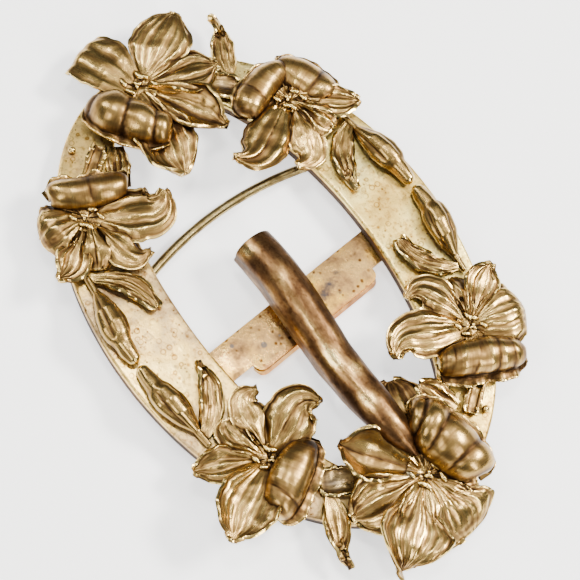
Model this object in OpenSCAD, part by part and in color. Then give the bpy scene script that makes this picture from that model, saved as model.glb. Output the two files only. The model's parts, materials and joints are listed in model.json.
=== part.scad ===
// Sash buckle of gilt brass with two half garlands of lilies, in millimetres.
// It lies on its back: X runs along the long axis, Y across it, Z up through the front face.
// The buckle is the same when it is turned half a turn about Z, apart from bar, tongue and wire.

/* [Frame plate] */
// Half of the plate's length
plate_a = 44; // [43:0.5:45]
// Half of the plate's width
plate_b = 30.2; // [29.5:0.1:31]
// Half of the window's length
window_a = 38.4; // [37.5:0.1:38.8]
// Half of the window's width
window_b = 16.8; // [16.2:0.1:17.2]
// Radius that the plate is bent to, so that it lies round a waist
bend_r = 300; // [260:10:400]
// Thickness of the sheet
sheet = 0.9; // [0.7:0.1:1]
// Depth of the turned down rims
rim_depth = 2.4; // [2:0.1:2.8]
// Thickness of the turned down rims
rim_t = 0.8; // [0.6:0.1:1]

/* [Cross bar] */
// Width of the bar's ends
bar_w = 5.9; // [5.4:0.1:6.4]
// Length of the bar
bar_len = 38.4; // [37.6:0.2:39]
// Depth of the bar's upper face below the plate's upper face
bar_drop = 2.7; // [2.65:0.05:2.8]
// Thickness of the bar
bar_t = 1; // [0.8:0.1:1.1]
// Length of the wide middle with the rolled edge
roll_len = 26; // [24:0.5:27]
// Radius of the rolled edge
roll_r = 0.95; // [0.85:0.05:1]
// Angle of the bar to the window's short side, in degrees
bar_skew = 5; // [4:0.5:6]

/* [Tongue] */
// Thickness of the tongue's sheet
tongue_sheet = 0.7; // [0.5:0.1:0.8]
// Width of the ring under the tongue that runs on the bar's rolled edge
ring_w = 2.4; // [2:0.1:2.6]
// Play between the ring and the rolled edge
ring_play = 0.25; // [0.2:0.05:0.3]
// Wall of the ring
ring_wall = 0.6; // [0.5:0.05:0.65]

/* [Sash wire] */
// Diameter of the wire
wire_d = 1.6; // [1.2:0.1:1.8]
// Radius that the wire is bowed to
wire_bow = 61; // [58:1:64]

/* [Flowers] */
// Thickness of the petals
petal_t = 0.8; // [0.6:0.1:0.9]
// Steps along a petal
petal_steps = 6; // [5:1:7]
// Steps across a petal, an even number
petal_cross = 6; // [6:2:6]
// Height of the big flowers' throat above the plate
throat_big = 2.4; // [2.2:0.1:2.6]
// Height of the small flowers' throat above the plate
throat_small = 2; // [1.8:0.1:2.2]
// Gap between a casting and the plate that it sits on
seat_gap = 0.12; // [0.1:0.01:0.2]

/* [Hidden] */

GILT = [0.80, 0.62, 0.33];
GILT_PALE = [0.86, 0.71, 0.45];
GILT_DEEP = [0.66, 0.48, 0.24];
PATINA = [0.50, 0.36, 0.20];
WIRE_BRASS = [0.62, 0.52, 0.30];

// Columns of a petal's row: direction it points, length along its middle, half width,
// slope at its base, how far it bends down over its length, how far its tip curls down,
// hollow at the base and at the tip (edges up), turn of its middle, hook of its tip,
// place of its widest part, bluntness of its tip, depth of its flutes, width at its base.
DIR = 0; LEN = 1; HALF = 2; RISE = 3; BEND = 4; CURL = 5; CUP0 = 6; CUP1 = 7;
TURN = 8; HOOK = 9; WIDEST = 10; BLUNT = 11; FLUTE = 12; BASE = 13;

//   dir  len  half rise bend curl cup0 cup1 turn hook wide blunt flute base
END_RIGHT = [
    [-54, 16.5,  5.6,  15,  10,  90,  25, -10,   0,   0, 0.55, 0.50, 0.20, 0.35],
    [ 18, 10.0,  5.0,  20,  60,  20,  10, -10,   0,   0, 0.65, 0.40, 0.20, 0.45],
    [104, 18.0, 11.0,  65, 160,  20, -45, -80,   0,   0, 0.40, 0.35, 0.10, 0.45],
    [161, 15.5,  4.8,  -6,  12,  10,  10,   5,   0,   0, 0.65, 0.50, 0.25, 0.40],
    [220, 15.0,  4.4, -10,  -9,  -5,  20,  40,  -8,   0, 0.60, 0.60, 0.10, 0.35],
    [266, 13.6,  3.8,  14,  36,   0,  20, -10,   0,   0, 0.65, 0.50, 0.25, 0.40]];
END_LEFT = [
    [-62, 14.0,  4.6,  15,  15,   0,  20,   5,   5,   0, 0.60, 0.55, 0.20, 0.35],
    [ 18, 12.5,  5.0,  25,  50,  75,   5, -25,   0,   0, 0.55, 0.40, 0.20, 0.45],
    [126, 17.5, 10.5,  65, 160,  20, -45, -80, -15,   0, 0.40, 0.40, 0.10, 0.45],
    [166, 17.0,  4.8,   5,  15,  -5,   5,   5,   5,   0, 0.60, 0.50, 0.25, 0.40],
    [208, 16.0,  4.4, -15, -15,   0,  45,  50,   0,   5, 0.60, 0.65, 0.10, 0.35],
    [250, 14.0,  3.4,  15,  20, -10,  20, -10,   0,   0, 0.65, 0.60, 0.25, 0.40]];
CURLED_RIGHT = [
    [ 22, 14.5,  7.6,  58, 150,  45, -20, -55,   0,   0, 0.40, 0.35, 0.10, 0.45],
    [-64, 14.0,  4.6,  20,  20,   0,  30,  35,   5,   5, 0.60, 0.65, 0.10, 0.35],
    [241, 11.0,  2.4,   5,  25,   0,  30,  20,   5,   5, 0.55, 0.70, 0.10, 0.35],
    [200,  7.5,  2.0,  20,  45,   0, -10, -30, -10, -30, 0.65, 0.45, 0.20, 0.35],
    [170, 12.0,  2.2,  15,  45, -35, -10, -20,   0,-100, 0.50, 0.65, 0.20, 0.40],
    [118, 13.0,  3.8,  25,  30, -35, -10, -20,   0,-100, 0.48, 0.70, 0.25, 0.40]];
CURLED_LEFT = [
    [ 30, 11.0,  6.8,  65, 125,  60, -30, -55,   0,   0, 0.50, 0.35, 0.10, 0.45],
    [-70, 10.0,  5.2,  35,  55,  75, -15, -40,   0,  10, 0.65, 0.50, 0.15, 0.40],
    [230, 10.5,  2.5,   5,  10, -10,  25,  20,   8,   5, 0.60, 0.75, 0.10, 0.35],
    [196,  6.5,  1.7,  20,  50,   0, -20, -35,   0,   0, 0.70, 0.40, 0.20, 0.35],
    [167, 13.0,  2.7,  15,  50, -45, -15, -20, -10, -85, 0.55, 0.65, 0.20, 0.40],
    [116, 17.0,  4.2,  25,  15, -25, -10, -15,   5, -75, 0.45, 0.70, 0.25, 0.40]];
SIDE_RIGHT = [
    [-20, 14.0,  7.6,  65, 140,  70, -20, -55,  -5,   0, 0.38, 0.40, 0.10, 0.45],
    [ 76, 10.5,  4.4,  30,  70,  35, -25, -30,   0,   0, 0.60, 0.40, 0.15, 0.40],
    [130, 10.5,  2.3,  10,  15,   0,  25,  15,  -5, -20, 0.60, 0.65, 0.10, 0.35],
    [158,  7.5,  1.8,  20,  60,   0, -25, -35,   8,   0, 0.65, 0.40, 0.10, 0.35],
    [184, 12.5,  2.4,  20,  60, -15,  -5, -20,  35,  75, 0.50, 0.65, 0.20, 0.40],
    [246, 15.0,  3.3,  20,  35, -10,  -5, -10,   0,  85, 0.45, 0.60, 0.25, 0.40]];
SIDE_LEFT = [
    [-34, 10.5,  7.2,  55, 130,  55, -20, -55,   8,  25, 0.50, 0.40, 0.10, 0.45],
    [ 82,  8.0,  4.8,  30,  80,  30, -35, -30,   0,   0, 0.65, 0.35, 0.15, 0.40],
    [130, 11.0,  2.2,   5,  15, -15,  25,  15,   0, -45, 0.60, 0.65, 0.10, 0.35],
    [168,  7.0,  1.9,  20,  65,  10, -35, -40, -10,   0, 0.75, 0.40, 0.10, 0.35],
    [192, 12.0,  2.4,  20,  50, -40, -15, -35,   0,  80, 0.60, 0.75, 0.20, 0.40],
    [236, 15.0,  3.6,  15,  25, -30, -15, -30,   8,  80, 0.45, 0.85, 0.25, 0.40]];

// Leaves and troughs of the sprays and stems and the end lilies' small leaf, with the same columns
BUD_LEAF_UPPER = [245, 11.4, 1.6, 5, 12, 0, 20, 10, -70, 0, 0.50, 0.30, 0.15, 0.40];
BUD_LEAF_LOWER = [118, 12.4, 1.8, 5, 12, 0, 20, 10,  62, 0, 0.45, 0.70, 0.15, 0.40];
END_LEAF = [-20, 12.0, 1.7, 5, 5, 0, 20, 10, -16, 0, 0.40, 0.70, 0.15, 0.40];
END_TROUGH = [243, 2.6, 1.8, -5, 5, 0, 40, 30, 0, 0, 0.50, 0.15, 0, 0.80];
FLANK_TROUGH = [-51, 3.7, 1.8, 0, 0, 0, 60, 60, 0, 0, 0.50, 0.15, 0, 0.80];
END_SEPAL = [203, 7.0, 2.1, 5, 5, 0, 10, 10, 0, 0, 0.50, 0.40, 0.15, 0.60];

// Columns of a bud's row: place along X and Y, height of its middle over the plate,
// half width and half height
BX = 0; BY = 1; BZ = 2; BW = 3; BH = 4;
BUD = [
    [ 0.2, 27.5, 1.4, 0.4, 0.4],
    [ 0.8, 27.5, 1.4, 1.1, 1.0],
    [ 2.6, 27.5, 1.4, 1.4, 1.3],
    [ 4.4, 27.4, 1.5, 1.5, 1.3],
    [ 5.0, 27.3, 1.7, 2.0, 1.6],
    [ 7.5, 27.0, 1.8, 2.3, 1.8],
    [10.2, 26.6, 1.7, 1.9, 1.6],
    [12.4, 26.2, 1.2, 1.1, 1.0],
    [13.6, 26.0, 0.9, 0.6, 0.6],
    [16.6, 25.7, 0.9, 0.5, 0.5]];

// Columns of a tongue's row: place along X and Y, height of the middle of its round back,
// half width, depth of its lips below that middle
TX = 0; TY = 1; TZ = 2; TW = 3; TL = 4;
TONGUE = [
    [-6.3, -0.70, 6.2, 2.75, 1.6],
    [-4.0, -0.70, 7.0, 2.75, 2.0],
    [ 0.0, -0.70, 7.9, 2.70, 2.5],
    [ 4.0, -0.80, 8.0, 2.70, 2.6],
    [10.0, -1.00, 7.5, 2.65, 2.3],
    [16.0, -1.30, 6.9, 2.55, 1.7],
    [22.0, -1.20, 7.0, 2.50, 1.2],
    [26.0, -1.10, 7.4, 2.40, 0.6],
    [30.0, -0.80, 7.5, 2.00, 0.3],
    [33.0, -0.55, 7.3, 1.25, 0.2],
    [36.2, -0.30, 7.0, 0.40, 0.1]];

// Places of the flowers' centres on the right half garland
END_AT = [38.9, -0.5];
CURLED_AT = [23.3, -19.6];
SIDE_AT = [24.3, 20.2];
// Where leaves and troughs start, and their height over the plate's upper face there. The pairs
// of the right and left half garland were bent differently, so some have a place of their own.
UPPER_LEAF_AT = [15.7, 25.9, 1.3];
LOWER_LEAF_AT = [15.2, -26.4, 1.2];
SEPAL_RIGHT_AT = [34.4, 10.7, 1.2];
SEPAL_LEFT_AT = [33.6, 9.6, 1.2];
END_TROUGH_AT = [33, -10.6, 0.7];
END_LEAF_AT = [32.1, -14.3, 0.9];
FLANK_RIGHT_AT = [32.4, 16.4, 1.1];
FLANK_LEFT_AT = [30.7, 15.0, 1.1];

// The solder boss under a flower: how far its foot is shifted, and the foot's radius
END_FOOT = [2.1, 0.4, 0];
END_FOOT_R = 2.4;
SMALL_FOOT = [0, 0, 0];
SMALL_FOOT_R = 3;

// Stamens: how many, angle of the first, angle that they spread over, reach, thickness
END_STAMENS = [6, -120, 220, 2.4, 0.5];
SMALL_STAMENS = [6, 20, 300, 1.8, 0.4];

plate_mid = bend_r - sqrt(pow(bend_r - rim_depth, 2) - pow(plate_a, 2));
oval_steps = 96;
room_steps = 48;
narrow_half = 3;
bar_top = plate_mid - bar_drop;
bar_at = [2.34, 0];
roll_across = 7.75;
roll_mid = 1;
ring_along = -1.6;
ring_r = roll_r + ring_play;
wire_mid = [45.8, 2.5];
wire_from = 165;
wire_sweep = 35;
wire_gap = 0.15;

function smooth(a, b, x) = let(u = min(1, max(0, (x - a) / (b - a)))) u * u * (3 - 2 * u);
function mix(a, b, u) = a + (b - a) * u;

// Height of the plate's upper face at x
function plate_z(x) = plate_mid - bend_r + sqrt(bend_r * bend_r - x * x);

function oval(a, b, n = oval_steps) = [for (i = [0:n - 1])
    [a * cos(360 * i / n), b * sin(360 * i / n)]];

// Slope and heading of a petal's middle line at s, from 0 at its base to 1 at its tip
function slope(p, s) = p[RISE] - p[BEND] * s - p[CURL] * smooth(0.6, 1, s);
function heading(p, s) = p[DIR] + p[TURN] * s + p[HOOK] * smooth(0.6, 1, s);
function along(el, az) = [cos(el) * cos(az), cos(el) * sin(az), sin(el)];
function middle(p, n) = [for (i = 0, at = along(0, p[DIR]) * 0.9; i <= n;
    at = at + along(slope(p, (i + 0.5) / n), heading(p, (i + 0.5) / n)) * p[LEN] / n, i = i + 1) at];

// Half width at s: BASE of it at the foot, widest at WIDEST, drawn in to the tip
function half_width(p, s) = p[HALF] * (s < p[WIDEST]
    ? mix(p[BASE], 1, sin(90 * s / p[WIDEST]))
    : max(0.05, pow(cos(88 * (s - p[WIDEST]) / (1 - p[WIDEST])), p[BLUNT])));

// One row of points across the petal, shifted by depth under its upper face
function petal_row(p, at, s, m, depth) = let(
        el = slope(p, s), az = heading(p, s),
        side = [-sin(az), cos(az), 0],
        up = [-sin(el) * cos(az), -sin(el) * sin(az), cos(el)],
        cup0 = mix(p[CUP0], p[CUP1], s), cup = abs(cup0) < 1 ? 1 : cup0,
        w = half_width(p, s), flute = p[FLUTE] * sin(180 * s))
    [for (j = [0:m]) let(t = 2 * j / m - 1, a = cup * t, r = w / (cup * PI / 180),
        across = r * sin(a), lift = r * (1 - cos(a)) + flute * cos(540 * t),
        out = -side * sin(a) + up * cos(a))
        at + side * across + up * lift - out * depth];

module petal(p, n, m) {
    mid = middle(p, n);
    top = [for (i = [0:n]) each petal_row(p, mid[i], i / n, m, 0)];
    under = [for (i = [0:n]) each petal_row(p, mid[i], i / n, m, petal_t)];
    w = m + 1;
    c = (n + 1) * w;
    rim = concat([for (i = [0:n]) i * w], [for (j = [1:m]) n * w + j],
        [for (i = [n - 1:-1:0]) i * w + m], [for (j = [m - 1:-1:1]) j]);
    polyhedron(concat(top, under), concat(
        [for (i = [0:n - 1], j = [0:m - 1]) each let(k = i * w + j)
            [[k, k + 1, k + w], [k + 1, k + w + 1, k + w]]],
        [for (i = [0:n - 1], j = [0:m - 1]) each let(k = c + i * w + j)
            [[k, k + w, k + 1], [k + 1, k + w, k + w + 1]]],
        [for (i = [0:len(rim) - 1]) each let(a = rim[i], b = rim[(i + 1) % len(rim)])
            [[a, b, a + c], [b, b + c, a + c]]]), convexity = 6);
}

// Puts a casting on the bent plate, turned so that its Z stands square on the plate there
module on_plate(at) {
    translate([at[0], at[1], plate_z(at[0])])
        rotate([0, asin(at[0] / bend_r), 0])
            translate([0, 0, seat_gap]) children();
}

module half_turn() { rotate([0, 0, 180]) children(); }

// The room that the plate takes with the seat gap round it: castings are filed to it
module plate_room() {
    intersection() {
        translate([0, 0, plate_mid - bend_r]) rotate([90, 0, 0])
            cylinder(h = 4 * plate_b, r = bend_r + seat_gap, center = true, $fn = 180);
        translate([0, 0, -1]) linear_extrude(plate_mid + 2) difference() {
            polygon(oval(plate_a + seat_gap, plate_b + seat_gap, room_steps));
            polygon(oval(window_a - seat_gap, window_b - seat_gap, room_steps));
        }
    }
}

// A sheet bent to bend_r about Y, whose upper face is the plate's
module curved_sheet(depth) {
    translate([0, 0, plate_mid - bend_r]) rotate([90, 0, 0]) difference() {
        cylinder(h = 3 * plate_b, r = bend_r, center = true, $fn = 360);
        cylinder(h = 4 * plate_b, r = bend_r - depth, center = true, $fn = 360);
    }
}

module oval_ring(a, b, w) {
    translate([0, 0, -1]) linear_extrude(plate_mid + 2) difference() {
        polygon(oval(a, b));
        polygon(oval(a - w, b - w));
    }
}

module frame_plate() {
    color(GILT_PALE) {
        intersection() {
            curved_sheet(sheet);
            translate([0, 0, -1]) linear_extrude(plate_mid + 2) difference() {
                polygon(oval(plate_a, plate_b));
                polygon(oval(window_a, window_b));
            }
        }
        intersection() {
            curved_sheet(rim_depth);
            oval_ring(plate_a, plate_b, rim_t);
        }
        intersection() {
            curved_sheet(rim_depth);
            oval_ring(window_a + rim_t, window_b + rim_t, rim_t);
        }
    }
}

// Turns the children to the bar, whose left edge is their Y axis
module on_bar() {
    translate([bar_at[0], bar_at[1], 0]) rotate([0, 0, bar_skew]) children();
}

module along_roll(h, r) {
    translate([roll_across, 0, bar_top - roll_r]) rotate([90, 0, 0])
        cylinder(h = h, r = r, center = true, $fn = 48);
}

module cross_bar() {
    slot_w = ring_w + 0.8;
    slot_at = roll_across - ring_r - ring_wall - 0.4;
    color(GILT) on_bar() {
        difference() {
            translate([0, 0, bar_top - bar_t]) linear_extrude(bar_t) {
                translate([0, -bar_len / 2]) square([bar_w, bar_len]);
                translate([0, roll_mid - roll_len / 2]) square([roll_across, roll_len]);
            }
            translate([slot_at, ring_along - slot_w / 2, 0])
                cube([roll_across - slot_at + 1, slot_w, bar_top + 1]);
        }
        translate([0, roll_mid, 0]) along_roll(roll_len, roll_r);
    }
}

module sash_wire() {
    color(WIRE_BRASS)
        translate([wire_mid[0], wire_mid[1], bar_top - wire_gap - wire_d / 2])
            rotate([0, 0, wire_from]) rotate_extrude(angle = wire_sweep, $fn = 180)
                translate([wire_bow, 0]) circle(wire_d / 2, $fn = 24);
}

// Section of the tongue: a round back between two lips, open underneath
function tongue_arc(row, inset) = let(r = max(row[TW] - inset, row[TW] * 0.4)) concat(
    [[row[TX], row[TY] + r, row[TZ] - row[TL]]],
    [for (a = [0:30:180]) [row[TX], row[TY] + r * cos(a), row[TZ] + r * sin(a)]],
    [[row[TX], row[TY] - r, row[TZ] - row[TL]]]);

module tongue_shell() {
    rings = [for (row = TONGUE) let(inner = tongue_arc(row, tongue_sheet))
        concat(tongue_arc(row, 0), [for (k = [len(inner) - 1:-1:0]) inner[k]])];
    w = len(rings[0]);
    half = w / 2;
    last = len(rings) - 1;
    polyhedron([for (ring = rings) each ring], concat(
        [for (i = [0:last - 1], k = [0:w - 1]) each let(a = i * w + k, b = i * w + (k + 1) % w)
            [[a, a + w, b], [b, a + w, b + w]]],
        [for (k = [0:half - 2]) each [[k, k + 1, w - 1 - k], [k + 1, w - 2 - k, w - 1 - k]]],
        [for (k = [0:half - 2]) each let(o = last * w)
            [[o + k, o + w - 1 - k, o + k + 1], [o + k + 1, o + w - 1 - k, o + w - 2 - k]]]),
        convexity = 6);
}

module tongue() {
    lug_t = 1.2;
    lug_top = 9.6;
    color(PATINA) {
        tongue_shell();
        on_bar() translate([0, ring_along, 0]) difference() {
            union() {
                along_roll(ring_w, ring_r + ring_wall);
                translate([roll_across - lug_t / 2, -ring_w / 2, bar_top - roll_r])
                    cube([lug_t, ring_w, lug_top - bar_top + roll_r]);
            }
            along_roll(ring_w + 1, ring_r);
        }
    }
}

// Stamens spread over an arc, each a rod with a rounded end, and the pistil
module stamens(row) {
    count = row[0];
    reach = row[3];
    size = row[4];
    for (i = [0:count - 1]) {
        a = row[1] + row[2] * i / (count - 1);
        d = [cos(a), sin(a), 0];
        hull() {
            translate(d * reach * 0.5 + [0, 0, -0.3]) cylinder(size, size * 0.9, size * 0.5, $fn = 5);
            translate(d * reach + [0, 0, 0.5]) cylinder(size, size * 0.9, size * 0.5, $fn = 5);
        }
    }
    hull() {
        translate([0, 0, -0.4]) cylinder(size, size, size, $fn = 6);
        translate([0.3, 0.2, 1]) cylinder(size, size * 1.1, size * 0.6, $fn = 6);
    }
}

// A lily: petals on a solder boss, whose foot is shifted to stand on the plate
module lily(petals, throat, foot, foot_r, stamen_row) {
    hull() {
        translate(foot) cylinder(0.6, foot_r, foot_r, $fn = 10);
        translate([0, 0, throat - 0.7]) cylinder(0.7, 1.8, 2, $fn = 10);
    }
    translate([0, 0, throat]) {
        for (p = petals)
            petal(p, petal_steps, p[HALF] < narrow_half ? petal_cross - 2 : petal_cross);
        stamens(stamen_row);
    }
}

module end_lily(petals, sepal_at) {
    color(GILT) difference() {
        union() {
            on_plate(END_AT) lily(petals, throat_big, END_FOOT, END_FOOT_R, END_STAMENS);
            leaf(END_SEPAL, sepal_at);
        }
        plate_room();
    }
}

module small_lily(petals, at) {
    color(GILT) difference() {
        on_plate(at) lily(petals, throat_small, SMALL_FOOT, SMALL_FOOT_R, SMALL_STAMENS);
        plate_room();
    }
}

module curled_lily(petals) { small_lily(petals, CURLED_AT); }
module side_lily(petals) { small_lily(petals, SIDE_AT); }

// A leaf or trough that starts at a place over the plate
module leaf(p, at) {
    translate([at[0], at[1], plate_z(at[0]) + at[2]]) rotate([0, asin(at[0] / bend_r), 0])
        petal(p, 6, 4);
}

module bud_slice(row) {
    translate([row[BX], row[BY], plate_z(row[BX]) + seat_gap + row[BZ]])
        rotate([0, 90, 0]) scale([row[BH], row[BW], 1]) cylinder(h = 0.05, r = 1, $fn = 12);
}

module bud() {
    for (i = [0:len(BUD) - 2]) hull() {
        bud_slice(BUD[i]);
        bud_slice(BUD[i + 1]);
    }
}

module upper_bud_spray() {
    color(GILT_DEEP) difference() {
        union() {
            bud();
            leaf(BUD_LEAF_UPPER, UPPER_LEAF_AT);
        }
        plate_room();
    }
}

module lower_bud_spray() {
    color(GILT_DEEP) difference() {
        union() {
            mirror([0, 1, 0]) bud();
            leaf(BUD_LEAF_LOWER, LOWER_LEAF_AT);
        }
        plate_room();
    }
}

module end_stem() {
    color(GILT) difference() {
        union() {
            leaf(END_TROUGH, END_TROUGH_AT);
            leaf(END_LEAF, END_LEAF_AT);
        }
        plate_room();
    }
}

module flank_stem(at) {
    color(GILT) difference() {
        leaf(FLANK_TROUGH, at);
        plate_room();
    }
}

frame_plate();
cross_bar();
sash_wire();
tongue();
end_lily(END_RIGHT, SEPAL_RIGHT_AT);  // end_lily_right
half_turn() end_lily(END_LEFT, SEPAL_LEFT_AT);  // end_lily_left
curled_lily(CURLED_RIGHT);  // curled_lily_right
half_turn() curled_lily(CURLED_LEFT);  // curled_lily_left
side_lily(SIDE_RIGHT);  // side_lily_right
half_turn() side_lily(SIDE_LEFT);  // side_lily_left
lower_bud_spray();  // bud_spray_lower_right
half_turn() lower_bud_spray();  // bud_spray_upper_left
upper_bud_spray();  // bud_spray_upper_right
half_turn() upper_bud_spray();  // bud_spray_lower_left
end_stem();  // end_stem_right
half_turn() end_stem();  // end_stem_left
flank_stem(FLANK_RIGHT_AT);  // flank_stem_right
half_turn() flank_stem(FLANK_LEFT_AT);  // flank_stem_left
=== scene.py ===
# Sash buckle with two half garlands of lilies, lying on its back on a pale table.
import bpy
import json
import math
import numpy as np
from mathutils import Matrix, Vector, noise
from mathutils.bvhtree import BVHTree
from mathutils.kdtree import KDTree

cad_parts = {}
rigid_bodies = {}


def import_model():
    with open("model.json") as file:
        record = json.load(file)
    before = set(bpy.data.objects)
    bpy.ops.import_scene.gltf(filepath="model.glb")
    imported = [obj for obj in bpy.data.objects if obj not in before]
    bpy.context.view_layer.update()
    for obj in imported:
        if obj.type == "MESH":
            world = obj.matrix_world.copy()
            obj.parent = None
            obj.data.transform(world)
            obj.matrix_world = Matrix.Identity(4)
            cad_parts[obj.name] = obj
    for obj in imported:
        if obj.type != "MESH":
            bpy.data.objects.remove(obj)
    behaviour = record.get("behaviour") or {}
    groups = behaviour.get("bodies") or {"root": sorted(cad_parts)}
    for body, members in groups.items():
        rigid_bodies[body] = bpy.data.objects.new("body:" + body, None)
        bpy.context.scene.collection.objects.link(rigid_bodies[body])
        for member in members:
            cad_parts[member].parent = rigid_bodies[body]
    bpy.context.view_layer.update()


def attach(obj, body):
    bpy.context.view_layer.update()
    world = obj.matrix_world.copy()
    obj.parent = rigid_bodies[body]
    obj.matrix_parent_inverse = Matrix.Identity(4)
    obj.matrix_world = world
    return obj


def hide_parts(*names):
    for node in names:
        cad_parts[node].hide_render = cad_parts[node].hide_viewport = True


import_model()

# ---- Table, lights and camera ----
# A pale matt table that glows a little, under six soft lamps: the strongest from the far side, strips from the
# right and left, a weak one from the near side, a small one overhead and a wide one that the plate mirrors.
# The camera stands where the photographer stood.
TABLE_WHITE = (0.92, 0.92, 0.91, 1)
TABLE_GLOW = 1.25
CAMERA_AT = (0.05465, -0.08778, 0.26282)
CAMERA_TURN = (19.869, -8.659, 53.072)
LENS = 107.75
WARM, COOL, WHITE = (1.0, 0.97, 0.92), (0.97, 0.98, 1.0), (1.0, 0.99, 0.97)
LAMPS = [
    # name, place in metres, width, height, watts, colour. All of them look at the buckle's middle
    ("lamp_far", (0.16, 0.36, 0.46), 0.17, 0.12, 6.5, WARM),
    ("lamp_right", (0.44, -0.02, 0.30), 0.07, 0.34, 2.0, WARM),
    ("lamp_left", (-0.36, -0.14, 0.34), 0.08, 0.30, 1.4, COOL),
    ("lamp_near", (0.02, -0.36, 0.34), 0.16, 0.22, 1.0, WARM),
    ("lamp_over", (-0.12, 0.02, 0.70), 0.12, 0.12, 2.2, WHITE),
    ("lamp_cloth", (-0.14, 0.24, 0.62), 0.34, 0.34, 0.6, WARM)]
ROOM_STRENGTH = 0.9
ROOM_GREYS = [
    # from the horizon, 0, to straight up, 1
    (0.0, (0.50, 0.50, 0.50)), (0.35, (0.05, 0.05, 0.055)), (0.75, (0.22, 0.22, 0.23)), (1.0, (0.8, 0.8, 0.8))]


def clear_selection():
    if bpy.context.mode != "OBJECT":
        bpy.ops.object.mode_set(mode="OBJECT")
    bpy.ops.object.select_all(action="DESELECT")


def shader(name):
    material = bpy.data.materials.new(name)
    material.use_nodes = True
    return material, material.node_tree, material.node_tree.nodes["Principled BSDF"]


def set_inputs(tree, node, **inputs):
    """Gives a node's sockets plain values or links, each by its name or, as i0 and i1, by its place."""
    for key, value in inputs.items():
        socket = node.inputs[int(key[1:]) if key[1:].isdigit() else key.replace("_", " ")]
        if isinstance(value, bpy.types.NodeSocket):
            tree.links.new(value, socket)
        else:
            socket.default_value = value


def hook_up(tree, kind, props=None, **inputs):
    made = tree.nodes.new("ShaderNode" + kind)
    for key, value in (props or {}).items():
        setattr(made, key, value)
    set_inputs(tree, made, **inputs)
    return made


def ramp(tree, fac, stops):
    made = hook_up(tree, "ValToRGB", Fac=fac)
    elements = made.color_ramp.elements
    while len(elements) < len(stops):
        elements.new(0.5)
    for element, (place, colour) in zip(elements, stops):
        element.position = place
        element.color = (*colour, 1)
    return made.outputs["Color"]


clear_selection()
bpy.ops.mesh.primitive_plane_add(size=4)
table = bpy.context.object
table.name = "table"
matt, matt_tree, matt_paint = shader("matt_table")
set_inputs(matt_tree, matt_paint, Base_Color=TABLE_WHITE, Roughness=0.85, Specular_IOR_Level=0.1,
           Emission_Color=(1, 1, 1, 1), Emission_Strength=TABLE_GLOW)
table.data.materials.append(matt)

for lamp_name, at, width, height, watts, colour in LAMPS:
    data = bpy.data.lights.new(lamp_name, "AREA")
    data.shape = "RECTANGLE"
    data.size, data.size_y, data.energy, data.color = width, height, watts, colour
    lamp = bpy.data.objects.new(lamp_name, data)
    lamp.location = at
    lamp.rotation_euler = (-Vector(at)).to_track_quat("-Z", "Y").to_euler()
    bpy.context.collection.objects.link(lamp)

room = bpy.data.worlds.new("studio")
room.use_nodes = True
sky = room.node_tree
looking = hook_up(sky, "TexCoord").outputs["Generated"]
high_up = hook_up(sky, "SeparateXYZ", Vector=looking).outputs["Z"]
set_inputs(sky, sky.nodes["Background"], Color=ramp(sky, high_up, ROOM_GREYS), Strength=ROOM_STRENGTH)
bpy.context.scene.world = room

camera_data = bpy.data.cameras.new("camera")
camera_data.lens = LENS
camera_data.sensor_width = 36
camera_data.clip_start = 0.01
camera = bpy.data.objects.new("camera", camera_data)
camera.location = CAMERA_AT
camera.rotation_euler = [math.radians(a) for a in CAMERA_TURN]
bpy.context.collection.objects.link(camera)
bpy.context.scene.camera = camera

# ---- Frame plate ----
# Stamped brass sheet, an oval with a wide window, both rims turned down and the whole bent round
# the waist. It is gilt, pale and worn, with fine dark specks, small rings and brushing.
MM = 0.001
PLATE_A, PLATE_B = 44.0, 30.2
WINDOW_A, WINDOW_B = 38.4, 16.8
BEND_R = 300.0
RIM_DEPTH = 2.4
SHEET = 0.85
EDGE_R = 0.55
WALL_STEPS = (RIM_DEPTH, 1.5, 0.9)
FACE_RINGS = 26
PLATE_DENTS = [(0.11, 0.10), (0.5, 0.025)]  # how close together, and how deep in millimetres
PLATE_MID = BEND_R - math.sqrt((BEND_R - RIM_DEPTH) ** 2 - PLATE_A ** 2)
SEAT_GAP = 0.12
FACE_Z = 5.2
PLATE_PITS = [(-9.7, -22.5, 0.42)]
PLATE_RINGS = [  # x, y and radius
    (-3.2, -23.3, 0.85), (-0.2, -20.4, 0.55), (-7.9, 25.1, 0.45), (-4.9, 24.8, 0.7), (0.5, 24.6, 0.5),
    (-6.4, 22.0, 0.4), (4.2, 23.4, 0.5), (-5.4, -20.6, 0.4), (3.1, -22.6, 0.5)]
# The plate's far side, towards the strongest lamp, is painted lighter and yellower than its near side: painted light.
FAR_SIDE_LIT_GILT = [
    (0.34, (0.50, 0.32, 0.08)), (0.45, (0.80, 0.56, 0.15)), (0.56, (0.98, 0.77, 0.25)), (0.8, (1.0, 0.85, 0.36))]
LOWER_GILT = [
    (0.34, (0.32, 0.20, 0.09)), (0.45, (0.58, 0.40, 0.18)), (0.56, (0.90, 0.61, 0.18)), (0.72, (1.0, 0.74, 0.25))]
# Painted shade: browns that darken the plate's turned down walls and a thin line round each casting.
PAINTED_SHADE_BROWNS = [(0.32, (0.055, 0.030, 0.013)), (0.62, (0.36, 0.23, 0.115)), (0.95, (1, 1, 1))]
SPECK_BROWN = (0.20, 0.11, 0.05)


def plate_z(x):
    """Height of the plate's face at x, in millimetres."""
    return PLATE_MID - BEND_R + np.sqrt(BEND_R ** 2 - np.asarray(x, float) ** 2)


def read_mm(piece):
    flat = np.empty(len(piece.data.vertices) * 3)
    piece.data.vertices.foreach_get("co", flat)
    return flat.reshape(-1, 3) / MM


def write_mm(piece, places):
    piece.data.vertices.foreach_set("co", (np.asarray(places, float) * MM).ravel())
    piece.data.update()


def pick(*pieces):
    clear_selection()
    for piece in pieces:
        piece.select_set(True)
    bpy.context.view_layer.objects.active = pieces[0]


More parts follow.
